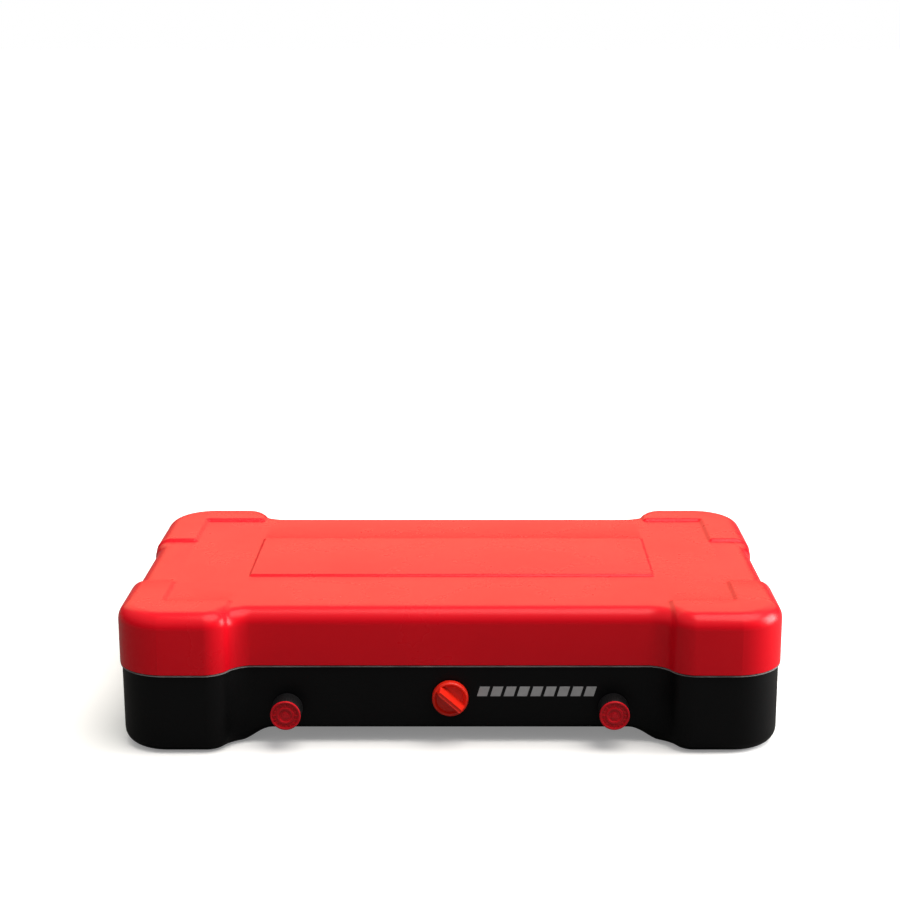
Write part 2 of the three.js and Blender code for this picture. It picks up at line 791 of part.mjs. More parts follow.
function buildGasLine() {
  const pipeY = frontInside + pipeBehindWall;
  const pipeZ = gasHeight - pipeBelowValve;
  const valveSide = valveHalf + gap;
  bothSides((side, word) => {
    addPiece(groupAt(side * burnerX, frontInside, gasHeight), `valve_body_${word}`, valveBody(), brass);
  });
  const crossEnd = burnerX - valveSide;
  addPiece(stove, 'cross_pipe', rod([-crossEnd, pipeY, pipeZ], [crossEnd, pipeY, pipeZ], pipeRadius), zinc);
  const inletEnd = baseSideWall - inletInside - gap;
  const feed = [
    [inletEnd, inletY, inletZ],
    [inletEnd - 12, inletY, inletZ],
    [burnerX + bracketHalf + 28, inletY - 22, inletZ - 2],
    [burnerX + bracketHalf + 12, (inletY + pipeY) / 2, pipeZ + 4],
    [burnerX + bracketHalf, pipeY + 16, pipeZ],
    [burnerX + valveSide + 18, pipeY, pipeZ],
    [burnerX + valveSide, pipeY, pipeZ],
  ];
  addPiece(stove, 'feed_pipe', tubeAlong(feed, pipeRadius, 8, 26), zinc);
  addPiece(groupAt(baseSideWall, inletY, inletZ), 'gas_inlet', gasInlet(), brass);
}

// ---- burner knobs: frames on the front wall, pointing forwards ----

function knobBarrel() {
  const bore = stemRadius + gap;
  const faceSeat = knobFront - knobFaceDeep;
  const rimInside = knobRadius - knobRim;
  return turned([
    [bore, knobBack],
    [knobRadius - 1, knobBack],
    [knobRadius, knobBack + 1.5],
    [knobRadius, knobFront - 1.5],
    [knobRadius - 0.5, knobFront],
    [rimInside, knobFront],
    [rimInside, faceSeat],
    [bore, faceSeat],
  ], [0, -1, 0], roundSides, true);
}

function knobFace() {
  const back = knobFront - knobFaceDeep + gap;
  const radius = knobRadius - knobRim - gap;
  const front = knobFront + 0.5;
  return turned([[0, back], [radius, back], [radius, front], [radius - 2, front], [radius - 2.6, front - 1],
    [0, front - 1]], [0, -1, 0]);
}

function buildKnobs() {
  bothSides((side, word) => {
    const place = groupAt(side * burnerX, frontWall, gasHeight);
    const stemBack = caseSheet + valveFront + stemInValve - gap;
    addPiece(place, `knob_barrel_${word}`, knobBarrel(), blackPlastic);
    addPiece(place, `knob_face_${word}`, knobFace(), redPlastic);
    addPiece(place, `valve_stem_${word}`, rod([0, stemBack, 0], [0, -stemReach, 0], stemRadius), brass);
  });
}

// ---- igniter ----

function igniterKnob() {
  const dome = turned([
    [0, igniterBack],
    [igniterRadius - 0.8, igniterBack],
    [igniterRadius, igniterBack + 1.3],
    [igniterRadius, igniterShoulder],
    [igniterRadius - 1.4, igniterShoulder + 2.5],
    [igniterRadius * 0.7, igniterDome - 0.5],
    [0, igniterDome],
  ], [0, -1, 0]);
  const { long, wide, front } = igniterBar;
  const bar = new THREE.BoxGeometry(long, front - igniterShoulder, wide);
  bar.translate(0, -(front + igniterShoulder) / 2, 0);
  bar.rotateY(THREE.MathUtils.degToRad(igniterBarTilt));
  const bore = rod([0, 0, 0], [0, -spindleInKnob - gap, 0], spindleRadius + gap);
  return dome.add(toSolid(bar)).subtract(bore);
}

function piezoBody() {
  const front = caseSheet + gap;
  return turned([
    [0, front],
    [piezoRadius + 2, front],
    [piezoRadius + 2, front + 5],
    [piezoRadius, front + 5],
    [piezoRadius, front + piezoLength],
    [0, front + piezoLength],
  ], [0, 1, 0]).subtract(rod([0, 0, 0], [0, caseSheet + spindleInPiezo, 0], spindleRadius + runningGap));
}

function buildIgniter() {
  const place = groupAt(0, frontWall, igniterZ);
  const spindleBack = caseSheet + spindleInPiezo - gap;
  addPiece(place, 'igniter_knob', igniterKnob(), redPlastic);
  addPiece(place, 'igniter_spindle', rod([0, spindleBack, 0], [0, -spindleInKnob, 0], spindleRadius), zinc);
  addPiece(place, 'piezo_body', piezoBody(), blackPlastic);
  const wireStart = frontWall + caseSheet + piezoLength + wireRadius;
  const electrodeX = burnerX - electrodeOffset;
  bothSides((side, word) => {
    const route = [
      [side * 4, wireStart, igniterZ - 2],
      [side * 8, wireStart + 12, igniterZ - 6],
      [side * electrodeX * 0.5, (wireStart + burnerY) / 2, gasHeight - 6],
      [side * electrodeX * 0.85, burnerY - 6, gasHeight - 5],
      [side * (electrodeX - ceramicRadius - wireRadius), burnerY, gasHeight - 4],
    ];
    addPiece(stove, `igniter_wire_${word}`, tubeAlong(route, wireRadius, rodSides, 16), wireRubber);
  });
}

// ---- drip tray, its ledges and the grate ----

function buildTray() {
  const holes = [-1, 1].map((side) => rod([side * burnerX, burnerY, 0], [side * burnerX, burnerY, far],
    trayHole, roundSides));
  const trayOutline = (growX, growY) =>
    roundedRect(trayHalfX + growX, trayHalfY + growY, trayCorner + growY, trayMiddle);
  const outer = roundedPrism(trayOutline(0, 0), trayFloor, trayRim, trayEdge, 'bottom');
  const flange = prism(trayOutline(trayFlangeX, trayFlangeY), trayRim - traySheet, trayRim);
  const innerOutline = trayOutline(-traySheet, -traySheet);
  const inner = roundedPrism(innerOutline, trayFloor + traySheet, trayRim + 1, trayEdge - traySheet, 'bottom');
  const tray = outer.add(flange).subtract(inner).subtract(holes[0]).subtract(holes[1]);
  addPiece(stove, 'drip_tray', tray, stainless);
}

function buildLedges() {
  const wall = baseSideWall - caseSheet - gap;
  const top = trayRim - traySheet - gap;
  bothSides((side, word) => {
    const along = [sideRecessFront + sideSweep + ledgeEndRoom, sideRecessRear - ledgeEndRoom];
    const shelf = block([side * (trayHalfX + ledgeReach), side * wall], along, [top - ledgeSheet, top]);
    const leg = block([side * (wall - ledgeSheet), side * wall], along, [top - ledgeDrop, top]);
    addPiece(stove, `tray_ledge_${word}`, shelf.add(leg), zinc);
  });
}

function buildGrate() {
  const inX = grateHalfX - grateBar;
  const inY = grateHalfY - grateBar;
  const ring = prism(roundedRect(grateHalfX, grateHalfY, grateCorner, trayMiddle), grateLow, grateTop)
    .subtract(prism(roundedRect(inX, inY, grateCorner - grateBar, trayMiddle), grateLow - 1, grateTop + 1));
  const rodZ = grateTop - grateRodBelow - grateRod * Math.cos(Math.PI / rodSides);
  let grate = ring;
  for (let i = 0; i < grateRods; i += 1) {
    const x = (i - (grateRods - 1) / 2) * grateSpacing;
    const end = grateHalfY - grateBar / 2;
    grate = grate.add(rod([x, trayMiddle - end, rodZ], [x, trayMiddle + end, rodZ], grateRod, rodSides));
  }
  const crossEnd = ((grateRods - 1) / 2) * grateSpacing + grateRod;
  for (const side of [-1, 1]) {
    const [y, z] = [trayMiddle + side * crossRodY, rodZ - crossRodDrop];
    grate = grate.add(rod([-crossEnd, y, z], [crossEnd, y, z], grateRod, rodSides));
  }
  addPiece(stove, 'cooking_grate', grate, nickel);
}

buildBase();
buildLid();
buildHinges();
buildLatches();
buildWindscreens();
buildBurners();
buildGasLine();
buildValveCover();
buildKnobs();
buildIgniter();
buildLedges();
buildTray();
buildGrate();

export default stove;
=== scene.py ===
import json
import math

import bmesh
import bpy
from mathutils import Matrix, Vector


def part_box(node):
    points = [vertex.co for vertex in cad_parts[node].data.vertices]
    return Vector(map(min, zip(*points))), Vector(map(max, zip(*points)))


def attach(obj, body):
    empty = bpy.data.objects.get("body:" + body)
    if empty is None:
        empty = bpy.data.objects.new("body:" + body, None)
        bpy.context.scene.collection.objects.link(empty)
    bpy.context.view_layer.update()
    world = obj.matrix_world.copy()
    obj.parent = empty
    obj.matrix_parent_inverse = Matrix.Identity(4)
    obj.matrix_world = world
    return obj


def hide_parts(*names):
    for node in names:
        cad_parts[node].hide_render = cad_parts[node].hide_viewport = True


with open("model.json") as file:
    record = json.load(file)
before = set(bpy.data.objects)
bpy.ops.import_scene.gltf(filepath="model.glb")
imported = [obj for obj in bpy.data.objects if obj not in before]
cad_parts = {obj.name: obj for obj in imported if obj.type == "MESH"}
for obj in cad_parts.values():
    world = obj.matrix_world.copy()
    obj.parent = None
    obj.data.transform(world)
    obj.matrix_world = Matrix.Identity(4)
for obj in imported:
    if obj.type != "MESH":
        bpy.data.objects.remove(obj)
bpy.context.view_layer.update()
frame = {"nodes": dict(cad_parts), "record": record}
mm = 0.001
record = frame["record"]
nodeBody = {node: body for body, nodes in record["behaviour"]["bodies"].items() for node in nodes}
nodeSlot = {part["node"]: part["material_slot"] for part in record["subparts"]}


# helpers that every piece uses; lengths are in millimetres until they meet mm

def deselectAll():
    if bpy.context.mode != "OBJECT":
        bpy.ops.object.mode_set(mode="OBJECT")
    bpy.ops.object.select_all(action="DESELECT")


def makeActive(piece):
    deselectAll()
    piece.select_set(True)
    bpy.context.view_layer.objects.active = piece


def named(name):
    piece = bpy.context.object
    piece.name = name
    piece.data.name = name
    return piece


def applyPlace(piece):
    makeActive(piece)
    bpy.ops.object.transform_apply(location=True, rotation=True, scale=True)


def editMode(piece):
    makeActive(piece)
    bpy.ops.object.mode_set(mode="EDIT")


def objectMode():
    bpy.ops.object.mode_set(mode="OBJECT")


def pick(piece, kind, test):
    # selects the vertices, edges or faces that pass the test, and says how many
    bpy.ops.mesh.select_mode(type=kind)
    bpy.ops.mesh.select_all(action="DESELECT")
    mesh = bmesh.from_edit_mesh(piece.data)
    mesh.normal_update()
    found = 0
    for item in {"VERT": mesh.verts, "EDGE": mesh.edges, "FACE": mesh.faces}[kind]:
        if test(item):
            item.select_set(True)
            found += 1
    mesh.select_flush_mode()
    bmesh.update_edit_mesh(piece.data)
    return found


def cutAt(axis, place):
    # one straight cut through the whole mesh, square to the axis
    normal = [0, 0, 0]
    normal["xyz".index(axis)] = 1
    point = [place * mm * n for n in normal]
    bpy.ops.mesh.select_all(action="SELECT")
    bpy.ops.mesh.bisect(plane_co=point, plane_no=normal)


def moveVertices(piece, moved):
    # moved(co) gives the new place, in millimetres
    for vertex in piece.data.vertices:
        vertex.co = Vector(moved(vertex.co / mm)) * mm


def applyModifier(piece, kind, **values):
    makeActive(piece)
    modifier = piece.modifiers.new(kind.title(), kind)
    for key, value in values.items():
        setattr(modifier, key, value)
    bpy.ops.object.modifier_apply(modifier=modifier.name)


def facesOut(piece):
    editMode(piece)
    bpy.ops.mesh.select_all(action="SELECT")
    bpy.ops.mesh.remove_doubles(threshold=0.000002)
    bpy.ops.mesh.normals_make_consistent(inside=False)
    objectMode()


def smooth(piece, degrees=32):
    makeActive(piece)
    bpy.ops.object.shade_smooth_by_angle(angle=math.radians(degrees))


def cutOut(piece, tool):
    applyModifier(piece, "BOOLEAN", operation="DIFFERENCE", solver="EXACT", object=tool)
    bpy.data.objects.remove(tool, do_unlink=True)


def joinInto(piece, others):
    makeActive(piece)
    for other in others:
        other.select_set(True)
    bpy.ops.object.join()
    return piece


def finishPiece(piece, nodes, material, degrees=32):
    # the piece stands for the named CAD nodes: it takes the given material, goes on their body, and the nodes
    # are hidden
    piece.data.materials.clear()
    piece.data.materials.append(material)
    smooth(piece, degrees)
    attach(piece, nodeBody[nodes[0]])
    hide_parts(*nodes)


def smoothStep(value, start, end):
    share = min(max((value - start) / (end - start), 0), 1)
    return share * share * (3 - 2 * share)


def boxPiece(name, low, high):
    middle = (Vector(low) + Vector(high)) / 2 * mm
    size = (Vector(high) - Vector(low)) * mm
    bpy.ops.mesh.primitive_cube_add(size=1, location=middle, scale=size)
    piece = named(name)
    applyPlace(piece)
    return piece


def rodPiece(name, start, end, radius, sides=24):
    start, end = Vector(start) * mm, Vector(end) * mm
    turn = (end - start).to_track_quat("Z", "Y").to_euler()
    bpy.ops.mesh.primitive_cylinder_add(vertices=sides, radius=radius * mm, depth=(end - start).length,
                                        location=(start + end) / 2, rotation=turn)
    piece = named(name)
    applyPlace(piece)
    return piece


def turnedPiece(name, profile, place, along, sides=64):
    # a disc, pushed out and resized step by step along its own axis, then stood where it belongs
    radius, height = profile[0]
    bpy.ops.mesh.primitive_circle_add(vertices=sides, radius=radius * mm, fill_type="NGON",
                                      location=(0, 0, height * mm))
    piece = named(name)
    applyPlace(piece)
    editMode(piece)
    bpy.ops.mesh.select_all(action="SELECT")
    for nextRadius, nextHeight in profile[1:]:
        bpy.ops.mesh.extrude_region_move(TRANSFORM_OT_translate={"value": (0, 0, (nextHeight - height) * mm)})
        share = nextRadius / radius
        bpy.ops.transform.resize(value=(share, share, 1), center_override=(0, 0, nextHeight * mm))
        radius, height = nextRadius, nextHeight
    objectMode()
    turn = Vector((0, 0, 1)).rotation_difference(Vector(along)).to_matrix().to_4x4()
    piece.data.transform(Matrix.Translation(Vector(place) * mm) @ turn)
    facesOut(piece)
    return piece


# node helpers for the finishes and the stage

def newGroup(name, inputs, outputs):
    group = bpy.data.node_groups.new(name, "ShaderNodeTree")
    for label, kind, value in inputs:
        socket = group.interface.new_socket(name=label, in_out="INPUT", socket_type=kind)
        socket.default_value = value
    for label, kind in outputs:
        group.interface.new_socket(name=label, in_out="OUTPUT", socket_type=kind)
    return group, group.nodes.new("NodeGroupInput"), group.nodes.new("NodeGroupOutput")


def noiseNode(tree, vector, scale, detail=4, roughness=0.55):
    node = tree.nodes.new("ShaderNodeTexNoise")
    node.inputs["Detail"].default_value = detail
    node.inputs["Roughness"].default_value = roughness
    tree.links.new(vector, node.inputs["Vector"])
    if isinstance(scale, (int, float)):
        node.inputs["Scale"].default_value = scale
    else:
        tree.links.new(scale, node.inputs["Scale"])
    return node.outputs["Fac"]


def rangeNode(tree, value, low, high, toLow, toHigh):
    node = tree.nodes.new("ShaderNodeMapRange")
    tree.links.new(value, node.inputs["Value"])
    for label, given in (("From Min", low), ("From Max", high), ("To Min", toLow), ("To Max", toHigh)):
        if isinstance(given, (int, float)):
            node.inputs[label].default_value = given
        else:
            tree.links.new(given, node.inputs[label])
    return node.outputs["Result"]


def mathNode(tree, operation, first, second):
    node = tree.nodes.new("ShaderNodeMath")
    node.operation = operation
    for slot, given in ((0, first), (1, second)):
        if isinstance(given, (int, float)):
            node.inputs[slot].default_value = given
        else:
            tree.links.new(given, node.inputs[slot])
    return node.outputs["Value"]


def mixNode(tree, share, first, second):
    node = tree.nodes.new("ShaderNodeMix")
    node.data_type = "RGBA"
    for label, given in (("Factor", share), ("A", first), ("B", second)):
        socket = [s for s in node.inputs if s.name == label and s.enabled][0]
        if isinstance(given, (int, float, tuple)):
            socket.default_value = given
        else:
            tree.links.new(given, socket)
    return [s for s in node.outputs if s.enabled][0]


def makeSurfaceGroup():
    # mottled colour, uneven gloss, fine grain and sparse scuffs, all from object coordinates
    group, given, out = newGroup("surfaceFinish", [
        ("Vector", "NodeSocketVector", (0, 0, 0)),
        ("Colour", "NodeSocketColor", (0.5, 0.5, 0.5, 1)),
        ("Second Colour", "NodeSocketColor", (0.4, 0.4, 0.4, 1)),
        ("Mottle Scale", "NodeSocketFloat", 20),
        ("Grain Scale", "NodeSocketFloat", 900),
        ("Smoothest", "NodeSocketFloat", 0.3),
        ("Roughest", "NodeSocketFloat", 0.45),
        ("Scuffs", "NodeSocketFloat", 0.2),
    ], [("Colour", "NodeSocketColor"), ("Roughness", "NodeSocketFloat"), ("Height", "NodeSocketFloat")])
    at = given.outputs
    mottle = noiseNode(group, at["Vector"], at["Mottle Scale"], 5, 0.6)
    grain = noiseNode(group, at["Vector"], at["Grain Scale"], 2, 0.5)
    stretch = group.nodes.new("ShaderNodeMapping")
    stretch.inputs["Scale"].default_value = (1, 9, 3)
    stretch.inputs["Rotation"].default_value = (0.1, 0.2, 0.6)
    group.links.new(at["Vector"], stretch.inputs["Vector"])
    lines = noiseNode(group, stretch.outputs["Vector"], 40, 3, 0.6)
    scuffs = mathNode(group, "MULTIPLY", rangeNode(group, lines, 0.66, 0.74, 0, 1), at["Scuffs"])
    share = rangeNode(group, mottle, 0.35, 0.68, 0, 1)
    colour = mixNode(group, share, at["Colour"], at["Second Colour"])
    gloss = rangeNode(group, mottle, 0.3, 0.7, at["Smoothest"], at["Roughest"])
    group.links.new(colour, out.inputs["Colour"])
    group.links.new(mathNode(group, "ADD", gloss, mathNode(group, "MULTIPLY", scuffs, 0.35)),
                    out.inputs["Roughness"])
    group.links.new(mathNode(group, "SUBTRACT", grain, mathNode(group, "MULTIPLY", scuffs, 0.5)),
                    out.inputs["Height"])
    return group


surfaceGroup = makeSurfaceGroup()


reliefDepth = 0.4 * mm


def makeFinish(name, colour, second, metallic=0.0, smoothest=0.3, roughest=0.45, mottle=20, grain=900,
               bump=0.05, scuffs=0.2, stretch=(1, 1, 1), specular=0.5):
    material = bpy.data.materials.new(name)
    material.use_nodes = True
    tree = material.node_tree
    shader = tree.nodes["Principled BSDF"]
    place = tree.nodes.new("ShaderNodeTexCoord")
    mapping = tree.nodes.new("ShaderNodeMapping")
    mapping.inputs["Scale"].default_value = stretch
    tree.links.new(place.outputs["Object"], mapping.inputs["Vector"])
    group = tree.nodes.new("ShaderNodeGroup")
    group.node_tree = surfaceGroup
    tree.links.new(mapping.outputs["Vector"], group.inputs["Vector"])
    values = {"Colour": (*colour, 1), "Second Colour": (*second, 1), "Mottle Scale": mottle,
              "Grain Scale": grain, "Smoothest": smoothest, "Roughest": roughest, "Scuffs": scuffs}
    for label, value in values.items():
        group.inputs[label].default_value = value
    tree.links.new(group.outputs["Colour"], shader.inputs["Base Color"])
    tree.links.new(group.outputs["Roughness"], shader.inputs["Roughness"])
    relief = tree.nodes.new("ShaderNodeBump")
    relief.inputs["Strength"].default_value = bump
    relief.inputs["Distance"].default_value = reliefDepth
    tree.links.new(group.outputs["Height"], relief.inputs["Height"])
    tree.links.new(relief.outputs["Normal"], shader.inputs["Normal"])
    shader.inputs["Metallic"].default_value = metallic
    shader.inputs["Specular IOR Level"].default_value = specular
    return material


redPaint = makeFinish("redPaint", (0.82, 0.003, 0.013), (0.77, 0.003, 0.012), smoothest=0.25, roughest=0.31,
                      mottle=9, grain=700, bump=0.05, scuffs=0, specular=0.2)
blackPaint = makeFinish("blackPaint", (0.0030, 0.0030, 0.0033), (0.0022, 0.0022, 0.0025), smoothest=0.40,
                        roughest=0.50, mottle=14, grain=1400, bump=0.18, scuffs=0.06, specular=0.15)
# light grey for the top of the base's rim bead: a painted highlight along the bead's edge, not wear
wornRim = makeFinish("wornRim", (0.26, 0.25, 0.25), (0.12, 0.115, 0.115), smoothest=0.3, roughest=0.45,
                     mottle=30, grain=1400, bump=0.1, scuffs=0.1)
redPlastic = makeFinish("redPlastic", (0.66, 0.004, 0.014), (0.58, 0.004, 0.012), smoothest=0.34,
                        roughest=0.44, mottle=60, grain=2500, bump=0.08, scuffs=0.05, specular=0.35)
# a brighter copy of the knobs' red plastic for the igniter dial: its lighter tone is painted light falling on
# the dome
signalPlastic = makeFinish("signalPlastic", (0.88, 0.022, 0.008), (0.82, 0.018, 0.007), smoothest=0.3,
                           roughest=0.4, mottle=60, grain=2500, bump=0.06, scuffs=0.05, specular=0.4)
blackPlastic = makeFinish("blackPlastic", (0.006, 0.006, 0.0065), (0.0045, 0.0045, 0.005), smoothest=0.45,
                          roughest=0.6, mottle=60, grain=2600, bump=0.2, scuffs=0.15, specular=0.22)
brushedSteel = makeFinish("brushedSteel", (0.56, 0.56, 0.57), (0.5, 0.5, 0.51), metallic=1, smoothest=0.24,
                          roughest=0.34, mottle=30, grain=500, bump=0.08, scuffs=0.05, stretch=(0.6, 9, 9))
nickelWire = makeFinish("nickelWire", (0.60, 0.58, 0.54), (0.52, 0.50, 0.46), metallic=1, smoothest=0.16,
                        roughest=0.28, mottle=40, grain=900, bump=0.05, scuffs=0.4)
zincPlate = makeFinish("zincPlate", (0.50, 0.51, 0.53), (0.42, 0.43, 0.45), metallic=1, smoothest=0.3,
                       roughest=0.48, mottle=70, grain=900, bump=0.08, scuffs=0.5)
castAluminium = makeFinish("castAluminium", (0.42, 0.42, 0.43), (0.34, 0.34, 0.35), metallic=0.9,
                           smoothest=0.48, roughest=0.66, mottle=90, grain=1100, bump=0.5, scuffs=0.3)
machinedBrass = makeFinish("machinedBrass", (0.62, 0.42, 0.16), (0.52, 0.34, 0.12), metallic=1,
                           smoothest=0.22, roughest=0.38, mottle=80, grain=1200, bump=0.06, scuffs=0.4)
whiteCeramic = makeFinish("whiteCeramic", (0.78, 0.75, 0.67), (0.70, 0.67, 0.60), smoothest=0.5,
                          roughest=0.65, mottle=90, grain=1800, bump=0.15, scuffs=0.1)
wireJacket = makeFinish("wireJacket", (0.28, 0.02, 0.015), (0.22, 0.015, 0.012), smoothest=0.55,
                        roughest=0.7, mottle=120, grain=1800, bump=0.1, scuffs=0.1)
printInk = makeFinish("printInk", (0.42, 0.42, 0.43), (0.36, 0.36, 0.37), smoothest=0.5, roughest=0.6,
                      mottle=120, grain=1800, bump=0.05, scuffs=0.2)
print("finishes made")


# the case seen from above, shared by the lid and the base

case = {
    "halfWidth": 324, "halfDepth": 192, "cornerRadius": 50,
    "endRecess": 27.5, "endStart": 192, "endSweep": 44,
    "sideRecess": 4, "sideFront": -77, "sideRear": 61, "sideSweep": 16,
    "cornerSteps": 14, "sweepSteps": 10, "sideSteps": 4,
}
nearby = 0.1      # how far from a named place a point may lie and still be taken as on it


def sweepCorners(shift, length):
    # a sweep is two equal arcs: how far its two corners stand from its ends, before they are rounded
    radius = (length ** 2 + shift ** 2) / (4 * shift)
    return radius * math.tan(math.asin(length / (2 * radius)) / 2)


def casePlan(name, height, inset):
    # a plane cut at the ends of the recesses, its walls pushed in, its corners rounded
    c = case
    bpy.ops.mesh.primitive_plane_add(size=1, location=(0, 0, height * mm))
    piece = named(name)
    piece.scale = (2 * c["halfWidth"] * mm, 2 * c["halfDepth"] * mm, 1)
    applyPlace(piece)
    endTangent = sweepCorners(c["endRecess"], c["endSweep"])
    sideTangent = sweepCorners(c["sideRecess"], c["sideSweep"])
    endIn, endOut = c["endStart"] + endTangent, c["endStart"] + c["endSweep"] - endTangent
    sideCuts = [c["sideFront"] + sideTangent, c["sideFront"] + c["sideSweep"] - sideTangent,
                c["sideRear"] - c["sideSweep"] + sideTangent, c["sideRear"] - sideTangent]
    editMode(piece)
    for x in (-endOut, -endIn, endIn, endOut):
        cutAt("x", x)
    for y in sideCuts:
        cutAt("y", y)
    objectMode()

    def recessed(co):
        x, y, z = co
        if abs(x) < endIn + nearby and abs(y) > c["halfDepth"] - nearby:
            y = math.copysign(c["halfDepth"] - c["endRecess"], y)
        elif sideCuts[1] - nearby < y < sideCuts[2] + nearby and abs(x) > c["halfWidth"] - nearby:
            x = math.copysign(c["halfWidth"] - c["sideRecess"], x)
        return x, y, z

    moveVertices(piece, recessed)
    editMode(piece)
    bpy.ops.mesh.select_all(action="SELECT")
    bpy.ops.mesh.dissolve_faces()

    def rounded(offset, steps, test):
        pick(piece, "VERT", test)
        bpy.ops.mesh.bevel(affect="VERTICES", offset=offset * mm, segments=steps, profile=0.5,
                           clamp_overlap=False)

    def atCorner(v):
        return abs(v.co.x) > (c["halfWidth"] - 1) * mm and abs(v.co.y) > (c["halfDepth"] - 1) * mm

    def atEndSweep(v):
        return abs(abs(v.co.x) - (endIn + endOut) / 2 * mm) < (endOut - endIn) / 2 * mm + nearby * mm

    def atSideSweep(v):
        return min(abs(v.co.y - y * mm) for y in sideCuts) < nearby * mm

    shy = 0.02        # keeps the two arcs of a sweep from meeting in one point
    rounded(c["cornerRadius"], c["cornerSteps"], atCorner)
    rounded(endTangent - shy, c["sweepSteps"], atEndSweep)
    rounded(sideTangent - shy, c["sideSteps"], atSideSweep)
    bpy.ops.mesh.select_all(action="SELECT")
    bpy.ops.mesh.remove_doubles(threshold=0.00008)
    bpy.ops.mesh.select_all(action="SELECT")
    bpy.ops.mesh.normals_make_consistent(inside=False)
    if inset:
        bpy.ops.mesh.select_mode(type="FACE")
        bpy.ops.mesh.select_all(action="SELECT")
        bpy.ops.mesh.inset(thickness=inset * mm, use_even_offset=True)
        bpy.ops.mesh.select_all(action="INVERT")
        bpy.ops.mesh.delete(type="FACE")
    objectMode()
    facesOut(piece)
    return piece


def extrudeFace(piece, rise):
    # pushes the one big face up or down and drops the face it started from
    editMode(piece)
    bpy.ops.mesh.select_mode(type="FACE")
    bpy.ops.mesh.select_all(action="SELECT")
    start = piece.data.vertices[0].co.z
    bpy.ops.mesh.extrude_region_move(TRANSFORM_OT_translate={"value": (0, 0, rise * mm)})
    pick(piece, "FACE", lambda f: abs(f.calc_center_median().z - start) < 0.00005)
    bpy.ops.mesh.delete(type="ONLY_FACE")
    bpy.ops.mesh.select_all(action="SELECT")
    bpy.ops.mesh.normals_make_consistent(inside=False)
    end = start + rise * mm
    pick(piece, "FACE", lambda f: abs(f.calc_center_median().z - end) < 0.00005)


# the lid: one red pressing with raised corner pads and a raised middle panel

lid = {
    "bottom": 81.8, "top": 138.5, "edge": 16, "edgeSteps": 10, "sheet": 1.0,
    "padRise": 3.0, "padBand": 212, "padArm": 276.5,
    "padFront": (-137, -77), "padRear": (141, 61), "padSlope": 6,
    "panelRise": 2.0, "panelX": 208, "panelFront": -61, "panelRear": 76, "panelSlope": 4,
}


bendShares = (0, 0.1, 0.25, 0.4, 0.6, 0.75, 0.9, 1)


def slopeCuts(start, width, towards):
    # cuts across a pressed step, closer together where it bends
    return [start + towards * width * share for share in bendShares]


def padShare(x, y):
    bandY, armY = lid["padFront"] if y < 0 else lid["padRear"]
    slope = lid["padSlope"]

    def past(value, start):
        return smoothStep(abs(value), abs(start), abs(start) + slope)

    band = past(x, lid["padBand"]) * past(y, bandY)
    arm = past(x, lid["padArm"]) * past(y, armY)
    return 1 - (1 - band) * (1 - arm)


def panelShare(x, y):
    slope = lid["panelSlope"]
    across = smoothStep(lid["panelX"] - abs(x), 0, slope)
    along = smoothStep(y - lid["panelFront"], 0, slope) * smoothStep(lid["panelRear"] - y, 0, slope)
    return across * along


def makeLid():
    piece = casePlan("lidPressing", lid["bottom"], 0)
    wallTop = lid["top"] - lid["edge"]
    extrudeFace(piece, wallTop - lid["bottom"])
    steps = lid["edgeSteps"]
    for i in range(steps):
        before, after = (math.radians(90 * k / steps) for k in (i, i + 1))
        inwards = lid["edge"] * (math.cos(before) - math.cos(after))
        upwards = lid["edge"] * (math.sin(after) - math.sin(before))
        bpy.ops.mesh.inset(thickness=inwards * mm, depth=upwards * mm, use_even_offset=True)
    cutsX, cutsY = [], []
    for side in (-1, 1):
        for start in (lid["padBand"], lid["padArm"]):
            cutsX += slopeCuts(side * start, lid["padSlope"], side)
        cutsX += slopeCuts(side * lid["panelX"], lid["panelSlope"], -side)
    for places, towards in ((lid["padFront"], -1), (lid["padRear"], 1)):
        for start in places:
            cutsY += slopeCuts(start, lid["padSlope"], towards)
    cutsY += slopeCuts(lid["panelFront"], lid["panelSlope"], 1)
    cutsY += slopeCuts(lid["panelRear"], lid["panelSlope"], -1)
    for x in cutsX:
        cutAt("x", x)
    for y in cutsY:
        cutAt("y", y)
    cutAt("z", lid["bottom"] + 6)
    objectMode()

    def pressed(co):
        x, y, z = co
        if z > wallTop - 1:
            z += lid["padRise"] * padShare(x, y)
        if z > lid["top"] - 0.1:
            z += lid["panelRise"] * panelShare(x, y)
        return x, y, z

    moveVertices(piece, pressed)
    facesOut(piece)
    applyModifier(piece, "SOLIDIFY", thickness=lid["sheet"] * mm, offset=-1, use_even_offset=False)
    finishPiece(piece, ["lid_shell"], redPaint)


makeLid()
print("lid made")


# the black pan under it, with a foot at each corner and a rolled bead round its rim

base = {
    "inset": 2, "rim": 81.2, "sheet": 1.0, "bandTop": 34, "floor": 15.5, "skirtEdge": 5, "footEdge": 14,
    "footX": (175, 206), "footY": (70, 100), "footSteps": 9,
    "bead": 1.7, "beadHeight": 2.4, "wornHeight": 1.6, "wallReach": 6,
    # the painted highlight covers the top faces of the rim bead, down to this height below the rim
    "knobX": 159, "knobZ": 38, "igniterZ": 48.5, "stemHole": 6.5, "spindleHole": 5,
    "inletY": -10, "inletZ": 39, "inletHole": 8.8,
}
edgeInsets = [0, 0.4, 1.2, 2.4, 4, 5.6, 7.6, 10, 12, 14, 17]
beadShares = (0.15, 0.35, 0.6, 0.85, 1, 1.5)


def roundedEdge(inset, radius):
    if inset >= radius:
        return 0
    return radius - math.sqrt(radius ** 2 - (radius - inset) ** 2)


def footShare(x, y):
    return smoothStep(abs(x), *base["footX"]) * smoothStep(abs(y), *base["footY"])


